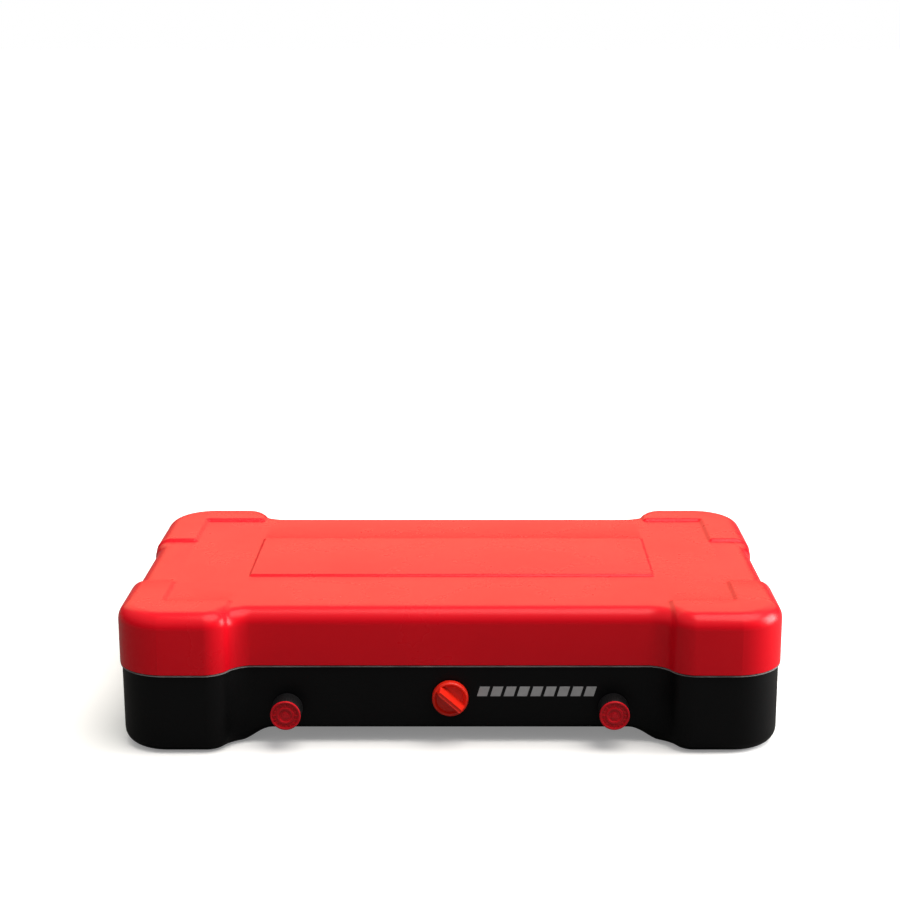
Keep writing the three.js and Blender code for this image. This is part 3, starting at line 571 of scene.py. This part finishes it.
def makeBase():
    piece = casePlan("basePan", base["rim"], base["inset"])
    extrudeFace(piece, base["bandTop"] - base["rim"])
    for before, after in zip(edgeInsets, edgeInsets[1:]):
        bpy.ops.mesh.inset(thickness=(after - before) * mm, depth=mm, use_even_offset=True)
    for start, end in (base["footX"], base["footY"]):
        axis = "x" if start == base["footX"][0] else "y"
        for side in (-1, 1):
            for i in range(base["footSteps"]):
                cutAt(axis, side * (start + (end - start) * i / (base["footSteps"] - 1)))
    beadCuts = [base["rim"] - base["beadHeight"] * share for share in beadShares]
    for z in beadCuts:
        cutAt("z", z)
    objectMode()

    def shaped(co):
        x, y, z = co
        if z > base["bandTop"] + 0.1:
            return x, y, z
        step = max(base["bandTop"] - z, 0)
        low = min(int(step), len(edgeInsets) - 2)
        inset = edgeInsets[low] + (edgeInsets[low + 1] - edgeInsets[low]) * (step - low)
        skirt = base["floor"] + roundedEdge(inset, base["skirtEdge"])
        foot = roundedEdge(inset, base["footEdge"])
        share = footShare(x, y)
        return x, y, skirt * (1 - share) + foot * share

    moveVertices(piece, shaped)
    facesOut(piece)
    for vertex in piece.data.vertices:       # the rolled bead round the rim
        below = (base["rim"] - vertex.co.z / mm) / base["beadHeight"]
        if 0 <= below < 1.4:
            out = base["bead"] * math.sin(math.pi * min(below, 1)) ** 0.5
            across = Vector((vertex.normal.x, vertex.normal.y, 0)).normalized()
            vertex.co += across * out * mm
    applyModifier(piece, "SOLIDIFY", thickness=base["sheet"] * mm, offset=-1, use_even_offset=False)
    wall = case["halfDepth"] - case["endRecess"] - base["inset"]
    reach = base["wallReach"]
    for x in (-base["knobX"], base["knobX"]):
        cutOut(piece, rodPiece("stemHole", (x, -wall - reach, base["knobZ"]),
                               (x, -wall + reach, base["knobZ"]), base["stemHole"], 32))
    cutOut(piece, rodPiece("spindleHole", (0, -wall - reach, base["igniterZ"]),
                           (0, -wall + reach, base["igniterZ"]), base["spindleHole"], 32))
    side = case["halfWidth"] - case["sideRecess"] - base["inset"]
    cutOut(piece, rodPiece("inletHole", (side - reach, base["inletY"], base["inletZ"]),
                           (side + reach, base["inletY"], base["inletZ"]), base["inletHole"], 40))
    finishPiece(piece, ["base_case"], blackPaint)
    # the top faces of the rim bead get the light grey: a painted highlight along the seam under the lid
    piece.data.materials.append(wornRim)
    for face in piece.data.polygons:
        if face.center.z > (base["rim"] - base["wornHeight"]) * mm:
            face.material_index = 1


makeBase()
print("base made")


# the two burner knobs: a ribbed black barrel with a sunk red face

knob = {
    "barrel": 15.0, "back": 1.5, "front": 21.6, "ribs": 36, "ribDeep": 0.35,
    "cap": 14.7, "capBack": 21.6, "capFront": 23.9, "rim": 1.9, "sunk": 1.7,
    "stemHole": 3.4, "ribEdge": 0.18, "ringOuter": 8.0, "ringInner": 6.6, "ringDeep": 1.3,
    "dotOuter": 3.2, "dotHigh": 1, "ticks": 16, "tickHigh": 1.1, "tickWide": 0.9, "tickReach": 12.2,
    "tickLong": 3.2, "tickShort": 2.0,
}


def makeKnob(word, side):
    wall = case["halfDepth"] - case["endRecess"] - base["inset"]
    place = (side * base["knobX"], -wall, base["knobZ"])
    k = knob
    profile = [(k["stemHole"], k["back"] + 4), (11, k["back"] + 4), (12, k["back"]),
               (k["barrel"] - 0.8, k["back"]),
               (k["barrel"], k["back"] + 0.8), (k["barrel"], k["back"] + 3), (k["barrel"], k["front"] - 1.2),
               (k["barrel"] - 0.4, k["front"] - 0.3), (k["barrel"] - 1.2, k["front"]),
               (k["stemHole"], k["front"])]
    barrel = turnedPiece(f"knobGrip_{word}", profile, place, (0, -1, 0), 2 * k["ribs"])
    editMode(barrel)

    def everyOther(face):
        middle = face.calc_center_median()
        outwards = Vector((middle.x - place[0] * mm, 0, middle.z - place[2] * mm))
        depth = -(middle.y / mm - place[1])
        if outwards.length < (k["barrel"] - 0.3) * mm or not k["back"] + 3 < depth < k["front"] - 1.3:
            return False
        turn = math.atan2(outwards.z, outwards.x) / (2 * math.pi) * 2 * k["ribs"]
        return int(math.floor(turn + 0.001)) % 2 == 0

    pick(barrel, "FACE", everyOther)
    bpy.ops.mesh.inset(thickness=k["ribEdge"] * mm, depth=-k["ribDeep"] * mm, use_individual=True)
    objectMode()
    finishPiece(barrel, [f"knob_barrel_{word}"], blackPlastic)
    edge, front, dot = k["cap"], k["capFront"], k["dotOuter"]
    floor = front - k["sunk"]
    ring = floor + k["ringDeep"]
    cap = [(edge - 0.6, k["capBack"]), (edge, k["capBack"] + 0.5), (edge, front - 0.8),
           (edge - 0.3, front - 0.25), (edge - 0.9, front), (edge - k["rim"], front - 0.2),
           (edge - k["rim"] - 0.5, floor), (k["ringOuter"] + 0.5, floor), (k["ringOuter"], ring),
           (k["ringInner"], ring), (k["ringInner"] - 0.5, floor), (dot, floor),
           (dot - 0.4, floor + k["dotHigh"]), (1.0, floor + k["dotHigh"])]
    face = turnedPiece(f"knobCap_{word}", cap, place, (0, -1, 0), 72)
    marks = []
    half, far = k["tickWide"] / 2, k["tickReach"]
    for i in range(k["ticks"]):
        angle = 2 * math.pi * i / k["ticks"]
        long = k["tickLong"] if i % 4 == 0 else k["tickShort"]
        mark = boxPiece(f"tick{i}", (-half, -k["tickHigh"], far - long), (half, 0.4, far))
        mark.data.transform(Matrix.Translation(Vector((place[0], place[1] - floor, place[2])) * mm)
                            @ Matrix.Rotation(angle, 4, "Y"))
        marks.append(mark)
    face = joinInto(face, marks)
    finishPiece(face, [f"knob_face_{word}"], redPlastic)


for word, side in (("left", -1), ("right", 1)):
    makeKnob(word, side)
print("knobs made")


# the igniter knob: a dished dial with a tapered bar across it

igniter = {
    "radius": 17.7, "back": 1.2, "shoulder": 6.2, "barTaper": 0.86, "barRound": 1.4, "barSunk": 0.3,
    "barLong": 33.5, "barWide": 10.5, "barTop": 3.6, "barFront": 17, "tilt": 42,
}


def makeIgniter():
    g = igniter
    wall = case["halfDepth"] - case["endRecess"] - base["inset"]
    place = Vector((0, -wall, base["igniterZ"]))
    r = g["radius"]
    high = g["shoulder"]
    profile = [(4.5, g["back"] + 2), (r - 2.5, g["back"] + 2), (r - 2, g["back"]), (r - 0.6, g["back"]),
               (r, g["back"] + 0.6), (r, high), (r - 0.3, high + 1.2), (r - 1.0, high + 2.1),
               (r - 2.0, high + 2.4), (r - 2.9, high + 1.9), (r - 3.6, high + 0.4), (r - 4.2, high - 0.8),
               (r * 0.65, high - 1.3), (r * 0.5, high - 1.2), (r * 0.25, high - 0.9), (0.8, high - 0.8)]
    dome = turnedPiece("igniterDial", profile, place, (0, -1, 0), 72)
    bar = boxPiece("igniterGrip", (-g["barLong"] / 2, -g["barFront"], -g["barWide"] / 2),
                   (g["barLong"] / 2, -g["shoulder"] + 2.2, g["barWide"] / 2))
    editMode(bar)
    pick(bar, "FACE", lambda f: f.normal.y < -0.5)
    bpy.ops.transform.resize(value=(g["barTaper"], 1, g["barTop"] / g["barWide"]))
    pick(bar, "EDGE", lambda e: abs((e.verts[0].co - e.verts[1].co).normalized().y) > 0.6)
    bpy.ops.mesh.bevel(offset=g["barRound"] * mm, segments=6, profile=0.5)
    pick(bar, "FACE", lambda f: f.normal.y < -0.9)
    bpy.ops.mesh.inset(thickness=0.35 * mm, depth=0)
    bpy.ops.mesh.inset(thickness=0.35 * mm, depth=-g["barSunk"] * mm)
    objectMode()
    bar.data.transform(Matrix.Translation(place * mm) @ Matrix.Rotation(math.radians(g["tilt"]), 4, "Y"))
    facesOut(bar)
    applyModifier(dome, "BOOLEAN", operation="UNION", solver="EXACT", object=bar)
    bpy.data.objects.remove(bar, do_unlink=True)
    # the igniter dial takes the brighter red: painted light on its dome
    finishPiece(dome, ["igniter_knob"], signalPlastic, 38)


makeIgniter()
print("igniter made")


# the two burners: a cast bowl and a plated cap with flame ports round it

burner = {"x": 159, "y": 20, "radius": 46, "rim": 57, "bowl": 26, "bowlTop": 47, "low": 26.3, "wall": 2.5,
          "capLow": 57.3, "capRise": 7, "ports": 48, "portDeep": 2.2,
          "mixerZ": 38, "mixerHole": 6, "mixerFrom": 12}


def makeBurner(word, side):
    b = burner
    place = (side * b["x"], b["y"], 0)
    profile = [(b["bowl"] - 1, b["low"]), (b["bowl"], b["low"] + 1), (b["bowl"], b["bowlTop"] - 2),
               (b["bowl"] + 1.2, b["bowlTop"]), (b["radius"] - 1.5, b["rim"] - 5),
               (b["radius"] - 0.3, b["rim"] - 3.8),
               (b["radius"], b["rim"] - 2.5), (b["radius"], b["rim"] - 0.5), (b["radius"] - 0.5, b["rim"]),
               (b["radius"] - b["wall"], b["rim"]), (b["radius"] - b["wall"] - 0.6, b["rim"] - 2),
               (b["bowl"] - b["wall"] + 1, b["bowlTop"] + 1.6), (b["bowl"] - b["wall"], b["bowlTop"]),
               (b["bowl"] - b["wall"], b["low"] + b["wall"])]
    body = turnedPiece(f"burnerBowl_{word}", profile, place, (0, 0, 1), 72)
    cutOut(body, rodPiece("mixerHole", (place[0], b["y"] - b["bowl"] - 2, b["mixerZ"]),
                          (place[0], b["y"] - b["mixerFrom"], b["mixerZ"]), b["mixerHole"], 32))
    finishPiece(body, [f"burner_body_{word}"], castAluminium)
    r = b["radius"]
    low, top = b["capLow"], b["capLow"] + b["capRise"]
    profile = [(r - 1.2, low), (r - 0.8, low + 0.3), (r - 0.8, low + 2.8), (r - 0.2, low + 3.1),
               (r, low + 3.6),
               (r - 0.4, top - 2.4), (r - 1.6, top - 1.7), (r * 0.82, top - 1.0), (r * 0.72, top - 1.1),
               (r * 0.70, top - 1.5), (r * 0.62, top - 1.5), (r * 0.60, top - 0.9), (r * 0.3, top - 0.1),
               (r * 0.12, top), (r * 0.1, top - 0.6), (1.5, top - 0.7)]
    cap = turnedPiece(f"burnerCap_{word}", profile, place, (0, 0, 1), 2 * b["ports"])
    editMode(cap)

    def port(face):
        middle = face.calc_center_median() / mm - Vector((place[0], place[1], 0))
        if not (low + 0.4 < middle.z < low + 2.7 and middle.xy.length > r - 2):
            return False
        turn = math.atan2(middle.y, middle.x) / (2 * math.pi) * 2 * b["ports"]
        return int(math.floor(turn + 0.001)) % 2 == 0

    pick(cap, "FACE", port)
    bpy.ops.mesh.inset(thickness=0.35 * mm, depth=0, use_individual=True)
    bpy.ops.mesh.inset(thickness=0.05 * mm, depth=-b["portDeep"] * mm, use_individual=True)
    objectMode()
    finishPiece(cap, [f"burner_cap_{word}"], zincPlate)


for word, side in (("left", -1), ("right", 1)):
    makeBurner(word, side)
print("burners made")


# the cooking grate: a bent wire frame, rods from front to rear, two rods across below them

grate = {"wire": 2.1, "frame": 2.4, "rods": 17, "corner": 22, "crossY": 66, "crossDrop": 3.6, "below": 0.4,
         "tip": 0.5}


def makeGrate():
    low, high = (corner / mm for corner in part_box("cooking_grate"))
    middle, half = (low + high) / 2, (high - low) / 2
    frameZ = high.z - grate["frame"]
    bpy.ops.mesh.primitive_plane_add(size=1, location=(middle.x * mm, middle.y * mm, frameZ * mm))
    ring = named("grateWires")
    ring.scale = (2 * (half.x - grate["frame"]) * mm, 2 * (half.y - grate["frame"]) * mm, 1)
    applyPlace(ring)
    editMode(ring)
    bpy.ops.mesh.select_all(action="SELECT")
    bpy.ops.mesh.bevel(affect="VERTICES", offset=grate["corner"] * mm, segments=10, profile=0.5)
    bpy.ops.mesh.select_all(action="SELECT")
    bpy.ops.mesh.delete(type="ONLY_FACE")
    objectMode()
    bpy.ops.object.convert(target="CURVE")
    ring.data.bevel_depth = grate["frame"] * mm
    ring.data.bevel_resolution = 6
    ring.data.splines[0].use_cyclic_u = True
    bpy.ops.object.convert(target="MESH")
    facesOut(ring)
    rods = []
    end = half.y - grate["frame"]
    spacing = 2 * half.x / (grate["rods"] + 1)
    rodZ = high.z - grate["below"] - grate["wire"]
    for i in range(grate["rods"]):
        x = middle.x + (i - (grate["rods"] - 1) / 2) * spacing
        rods.append(rodPiece(f"rod{i}", (x, middle.y - end, rodZ), (x, middle.y + end, rodZ),
                             grate["wire"], 20))
    for side in (-1, 1):
        y = middle.y + side * grate["crossY"]
        z = max(rodZ - grate["crossDrop"], low.z + grate["wire"] * 0.6)
        reach = (grate["rods"] - 1) / 2 * spacing + grate["wire"]
        rods.append(rodPiece(f"cross{side}", (middle.x - reach, y, z), (middle.x + reach, y, z),
                             grate["wire"] * 0.9, 20))
    for part in rods:
        applyModifier(part, "BEVEL", width=grate["tip"] * mm, segments=2, limit_method="ANGLE",
                      angle_limit=math.radians(50))
    ring = joinInto(ring, rods)
    finishPiece(ring, ["cooking_grate"], nickelWire)


makeGrate()
print("grate made")


# the drip tray: a bent pan with a lipped hole at each burner

tray = {"sheet": 0.8, "floorEdge": 6, "lipEdge": 2.4, "corner": 29.5, "flangeX": 8, "flangeY": 4.5,
        "hole": 56, "holeLip": 1.26, "steps": 6}


def makeTray():
    low, high = (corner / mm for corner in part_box("drip_tray"))
    middle, half = (low + high) / 2, (high - low) / 2
    bpy.ops.mesh.primitive_plane_add(size=1, location=(middle.x * mm, middle.y * mm, (high.z - 1.2) * mm))
    pan = named("dripPan")
    pan.scale = (2 * half.x * mm, 2 * half.y * mm, 1)
    applyPlace(pan)
    editMode(pan)
    bpy.ops.mesh.select_all(action="SELECT")
    bpy.ops.mesh.bevel(affect="VERTICES", offset=tray["corner"] * mm, segments=12, profile=0.5)
    bpy.ops.mesh.select_mode(type="FACE")
    bpy.ops.mesh.select_all(action="SELECT")
    bpy.ops.mesh.inset(thickness=0.6 * mm, depth=1.2 * mm, use_even_offset=True)
    bpy.ops.mesh.inset(thickness=(tray["flangeY"] - 1.4) * mm, depth=0, use_even_offset=True)
    steps = tray["steps"]

    def bend(radius, start, end):
        # a bend of the sheet, as inward and downward steps
        for i in range(steps):
            before, after = (math.radians(start + (end - start) * k / steps) for k in (i, i + 1))
            inwards = radius * (math.sin(after) - math.sin(before))
            down = radius * (math.cos(before) - math.cos(after))
            bpy.ops.mesh.inset(thickness=abs(inwards) * mm, depth=-abs(down) * mm, use_even_offset=True)

    bend(tray["lipEdge"], 0, 90)
    wallDeep = (high.z - low.z) - tray["lipEdge"] - tray["floorEdge"]
    bpy.ops.mesh.inset(thickness=0.3 * mm, depth=-wallDeep * mm, use_even_offset=True)
    bend(tray["floorEdge"], 90, 0)
    objectMode()

    def widened(co):
        # the flange is wider at the two ends
        x, y, z = co
        if z < high.z - nearby and half.x / 2 < abs(x) < half.x - 1:
            share = smoothStep(high.z - z, 0.05, 1.5)
            x -= math.copysign((tray["flangeX"] - tray["flangeY"]) * share, x)
        return x, y, z

    moveVertices(pan, widened)
    facesOut(pan)
    if sum(f.normal.z for f in pan.data.polygons) <= 0:
        pan.data.flip_normals()
    applyModifier(pan, "SOLIDIFY", thickness=tray["sheet"] * mm, offset=-1, use_even_offset=False)
    lips = []
    for side in (-1, 1):
        x, y = side * burner["x"], burner["y"]
        cutOut(pan, rodPiece("trayHole", (x, y, low.z - 5), (x, y, low.z + 15), tray["hole"], 72))
        bpy.ops.mesh.primitive_torus_add(location=(x * mm, y * mm, (low.z + tray["sheet"] + 0.5) * mm),
                                         major_radius=(tray["hole"] + 0.6) * mm,
                                         minor_radius=tray["holeLip"] * mm,
                                         major_segments=72, minor_segments=12)
        lip = named(f"trayLip{side}")
        applyPlace(lip)
        lips.append(lip)
    pan = joinInto(pan, lips)
    finishPiece(pan, ["drip_tray"], brushedSteel)


makeTray()
print("tray made")


# the windscreens: stamped panels with vent slots, rolled round their hinge pins

windscreen = {"hingeX": 304, "hingeZ": 126.5, "sheet": 0.8, "border": 14, "step": 3.5, "stamped": 1.6,
              "knuckle": 3.6, "bore": 2.15, "corner": 26, "slots": 7, "slotIn": 8, "slotHalf": 2,
              "slotHalfLong": 9}
stampedSteps = ((0.25, 0.1), (0.5, 0.4), (0.5, 0.4), (0.25, 0.1))      # shares of the width and depth


def makeWindscreen(word, side):
    w = windscreen
    low, high = (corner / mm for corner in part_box(f"windscreen_{word}"))
    hingeX, hingeZ = side * w["hingeX"], w["hingeZ"]
    innerX = low.x if side > 0 else high.x
    middleX, middleY = (innerX + hingeX) / 2, (low.y + high.y) / 2
    bpy.ops.mesh.primitive_plane_add(size=1, location=(middleX * mm, middleY * mm, hingeZ * mm))
    sheet = named(f"windPanel_{word}")
    sheet.scale = (abs(innerX - hingeX) * mm, (high.y - low.y) * mm, 1)
    applyPlace(sheet)
    editMode(sheet)
    pick(sheet, "VERT", lambda v: abs(v.co.x - innerX * mm) < 0.0001)
    bpy.ops.mesh.bevel(affect="VERTICES", offset=w["corner"] * mm, segments=8, profile=0.5)
    bpy.ops.mesh.select_mode(type="FACE")
    bpy.ops.mesh.select_all(action="SELECT")
    bpy.ops.mesh.inset(thickness=w["border"] * mm, use_even_offset=True)
    for share, depth in stampedSteps:
        bpy.ops.mesh.inset(thickness=w["step"] * share * mm / 1.5, depth=-w["stamped"] * depth * mm,
                           use_even_offset=True)
    objectMode()
    applyModifier(sheet, "SOLIDIFY", thickness=w["sheet"] * mm, offset=0)
    applyModifier(sheet, "BEVEL", width=0.2 * mm, segments=2, limit_method="ANGLE",
                  angle_limit=math.radians(60))
    for i in range(w["slots"]):
        y = low.y + (high.y - low.y) * (i + 1) / (w["slots"] + 1)
        x = innerX + side * w["slotIn"]
        slot = boxPiece("ventSlot", (x - w["slotHalf"], y - w["slotHalfLong"], hingeZ - 4),
                        (x + w["slotHalf"], y + w["slotHalfLong"], hingeZ + 4))
        applyModifier(slot, "BEVEL", width=1.9 * mm, segments=4, limit_method="ANGLE")
        cutOut(sheet, slot)
    knuckle = rodPiece("knuckle", (hingeX, low.y, hingeZ), (hingeX, high.y, hingeZ), w["knuckle"], 28)
    cutOut(knuckle, rodPiece("bore", (hingeX, low.y - 2, hingeZ), (hingeX, high.y + 2, hingeZ),
                             w["bore"], 24))
    sheet = joinInto(sheet, [knuckle])
    finishPiece(sheet, [f"windscreen_{word}"], brushedSteel, 36)


for word, side in (("left", -1), ("right", 1)):
    makeWindscreen(word, side)
print("windscreens made")


# small hardware keeps its CAD form, with its edges eased

hardware = {"edge": 0.35, "fine": 0.2, "angle": 40}


def easeNode(node, material, edge, rounder=False):
    source = frame["nodes"][node]
    words = node.split("_")
    name = words[0] + "".join(word.title() for word in words[1:]) + "Eased"
    piece = bpy.data.objects.new(name, source.data.copy())
    bpy.context.scene.collection.objects.link(piece)
    editMode(piece)
    bpy.ops.mesh.select_all(action="SELECT")
    bpy.ops.mesh.remove_doubles(threshold=0.000002)
    bpy.ops.mesh.select_all(action="SELECT")
    bpy.ops.mesh.dissolve_limited(angle_limit=math.radians(0.5))
    objectMode()
    if piece.data.has_custom_normals:
        bpy.ops.mesh.customdata_custom_splitnormals_clear()
    applyModifier(piece, "BEVEL", width=edge * mm, segments=2, limit_method="ANGLE",
                  angle_limit=math.radians(hardware["angle"]))
    if rounder:
        applyModifier(piece, "SUBSURF", levels=1, render_levels=1)
    finishPiece(piece, [node], material, 35)


slotFinish = {"red_paint": redPaint, "black_paint": blackPaint, "stainless_steel": brushedSteel,
              "nickel_plate": nickelWire, "zinc_plate": zincPlate, "cast_aluminium": castAluminium,
              "brass": machinedBrass, "ceramic": whiteCeramic, "black_plastic": blackPlastic,
              "red_plastic": redPlastic, "wire_jacket": wireJacket}
easedKinds = ("hinge_leaf", "hinge_pin", "latch_", "windscreen_clip", "windscreen_pin", "burner_bracket",
              "mixer_tube", "valve_", "electrode", "tray_ledge", "gas_inlet", "piezo_body", "igniter_spindle")
tubeKinds = ("cross_pipe", "feed_pipe", "igniter_wire")
for node in sorted(frame["nodes"]):
    if node.startswith(easedKinds) or node.startswith(tubeKinds):
        fine = node.startswith(("latch_loop", "electrode", "hinge_pin"))
        easeNode(node, slotFinish[nodeSlot[node]], hardware["fine" if fine else "edge"],
                 node.startswith(tubeKinds))
print("hardware made")


# printed stripe on the front wall: plain bars, no lettering

stripe = {"from": 26, "to": 140, "low": 49, "high": 59, "bars": 9, "gap": 3.2, "slant": 3, "proud": 0.12}


def makeStripe():
    s = stripe
    wall = case["halfDepth"] - case["endRecess"] - base["inset"]
    width = (s["to"] - s["from"] + s["gap"]) / s["bars"] - s["gap"]
    bars = []
    for i in range(s["bars"]):
        x = s["from"] + i * (width + s["gap"])
        bar = boxPiece(f"frontBar{i}", (x, -wall - s["proud"], s["low"]), (x + width, -wall + 0.1, s["high"]))
        editMode(bar)
        pick(bar, "FACE", lambda f: f.normal.z > 0.5)
        bpy.ops.transform.translate(value=(s["slant"] * mm, 0, 0))
        objectMode()
        applyModifier(bar, "BEVEL", width=0.05 * mm, segments=1, limit_method="ANGLE")
        bars.append(bar)
    piece = joinInto(bars[0], bars[1:])
    piece.name = "frontStripe"
    piece.data.materials.clear()
    piece.data.materials.append(printInk)
    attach(piece, "base")


makeStripe()
print("stripe made")


# camera, lights and floor

view = {
    "lens": 70.14, "x": 26.1, "y": -1769.7, "z": 688, "pitch": 13.69, "shift": -0.03,
    "backdrop": 1.0, "ambient": 0.06, "ceiling": 0.6, "floor": 0.86, "floorBounce": 0.16, "floorGlow": 0.22,
    "ceilingFrom": 0.2, "ceilingTo": 0.8,
}
sunlight = {"energy": 2.8, "angle": 50, "tint": (1, 0.96, 0.9), "from": (0.35, -0.1, 1.0)}
softboxes = {
    "backSoftbox": ((0, 3.0, 1.9), (0, 0, 0.6), (6, 2.4), 40, (1, 0.97, 0.55)),
    "rightSoftbox": ((3.0, 0.2, 1.0), (0.3, 0, 0.1), (1.6, 1.6), 110, (1, 1, 1)),
}      # place, target, size, power, tint


def makeView():
    camera = bpy.data.cameras.new("camera")
    camera.lens = view["lens"]
    camera.shift_x = view["shift"]
    camera.clip_start = 0.01
    holder = bpy.data.objects.new("camera", camera)
    holder.location = Vector((view["x"], view["y"], view["z"])) * mm
    holder.rotation_euler = (math.radians(90 - view["pitch"]), 0, 0)
    bpy.context.scene.collection.objects.link(holder)
    bpy.context.scene.camera = holder


def makeLight(name, place, target, size, power, tint):
    light = bpy.data.lights.new(name, "AREA")
    light.shape = "RECTANGLE"
    light.size, light.size_y = size
    light.energy = power
    light.color = tint
    holder = bpy.data.objects.new(name, light)
    holder.location = place
    holder.rotation_euler = (Vector(target) - Vector(place)).to_track_quat("-Z", "Y").to_euler()
    bpy.context.scene.collection.objects.link(holder)


def cameraShare(tree):
    # 1 where the camera looks straight at a surface, 0 where light bounces from it
    return tree.nodes.new("ShaderNodeLightPath").outputs["Is Camera Ray"]


def makeFloor():
    deselectAll()
    bpy.ops.mesh.primitive_plane_add(size=90, location=(0, 0, -0.0002))
    floor = named("floor")
    applyPlace(floor)
    material = bpy.data.materials.new("paleFloor")
    material.use_nodes = True
    tree = material.node_tree
    shader = tree.nodes["Principled BSDF"]
    seen = cameraShare(tree)
    pale, bounced = ((view[key],) * 3 + (1,) for key in ("floor", "floorBounce"))
    tree.links.new(mixNode(tree, seen, bounced, pale), shader.inputs["Base Color"])
    shader.inputs["Roughness"].default_value = 0.9
    shader.inputs["Specular IOR Level"].default_value = 0.1
    shader.inputs["Emission Color"].default_value = (1, 1, 1, 1)
    tree.links.new(mathNode(tree, "MULTIPLY", seen, view["floorGlow"]), shader.inputs["Emission Strength"])
    floor.data.materials.append(material)


def makeStage():
    makeFloor()
    world = bpy.data.worlds.new("studio")
    bpy.context.scene.world = world
    world.use_nodes = True
    tree = world.node_tree
    backdrop = tree.nodes["Background"]
    direction = tree.nodes.new("ShaderNodeTexCoord")
    parts = tree.nodes.new("ShaderNodeSeparateXYZ")
    tree.links.new(direction.outputs["Generated"], parts.inputs["Vector"])
    ambient = rangeNode(tree, parts.outputs["Z"], view["ceilingFrom"], view["ceilingTo"],
                        view["ambient"], view["ceiling"])
    backdrop.inputs["Color"].default_value = (1, 1, 1, 1)
    seen = cameraShare(tree)
    strength = mathNode(tree, "ADD", mathNode(tree, "MULTIPLY", seen, view["backdrop"]),
                        mathNode(tree, "MULTIPLY", mathNode(tree, "SUBTRACT", 1, seen), ambient))
    tree.links.new(strength, backdrop.inputs["Strength"])
    sun = bpy.data.lights.new("overheadSoftbox", "SUN")
    sun.energy = sunlight["energy"]
    sun.angle = math.radians(sunlight["angle"])
    sun.color = sunlight["tint"]
    holder = bpy.data.objects.new("overheadSoftbox", sun)
    holder.rotation_euler = (-Vector(sunlight["from"])).to_track_quat("-Z", "Y").to_euler()
    bpy.context.scene.collection.objects.link(holder)
    for name, setting in softboxes.items():
        makeLight(name, *setting)


makeView()
makeStage()
bpy.context.scene.view_settings.view_transform = "Standard"
print("stage made")
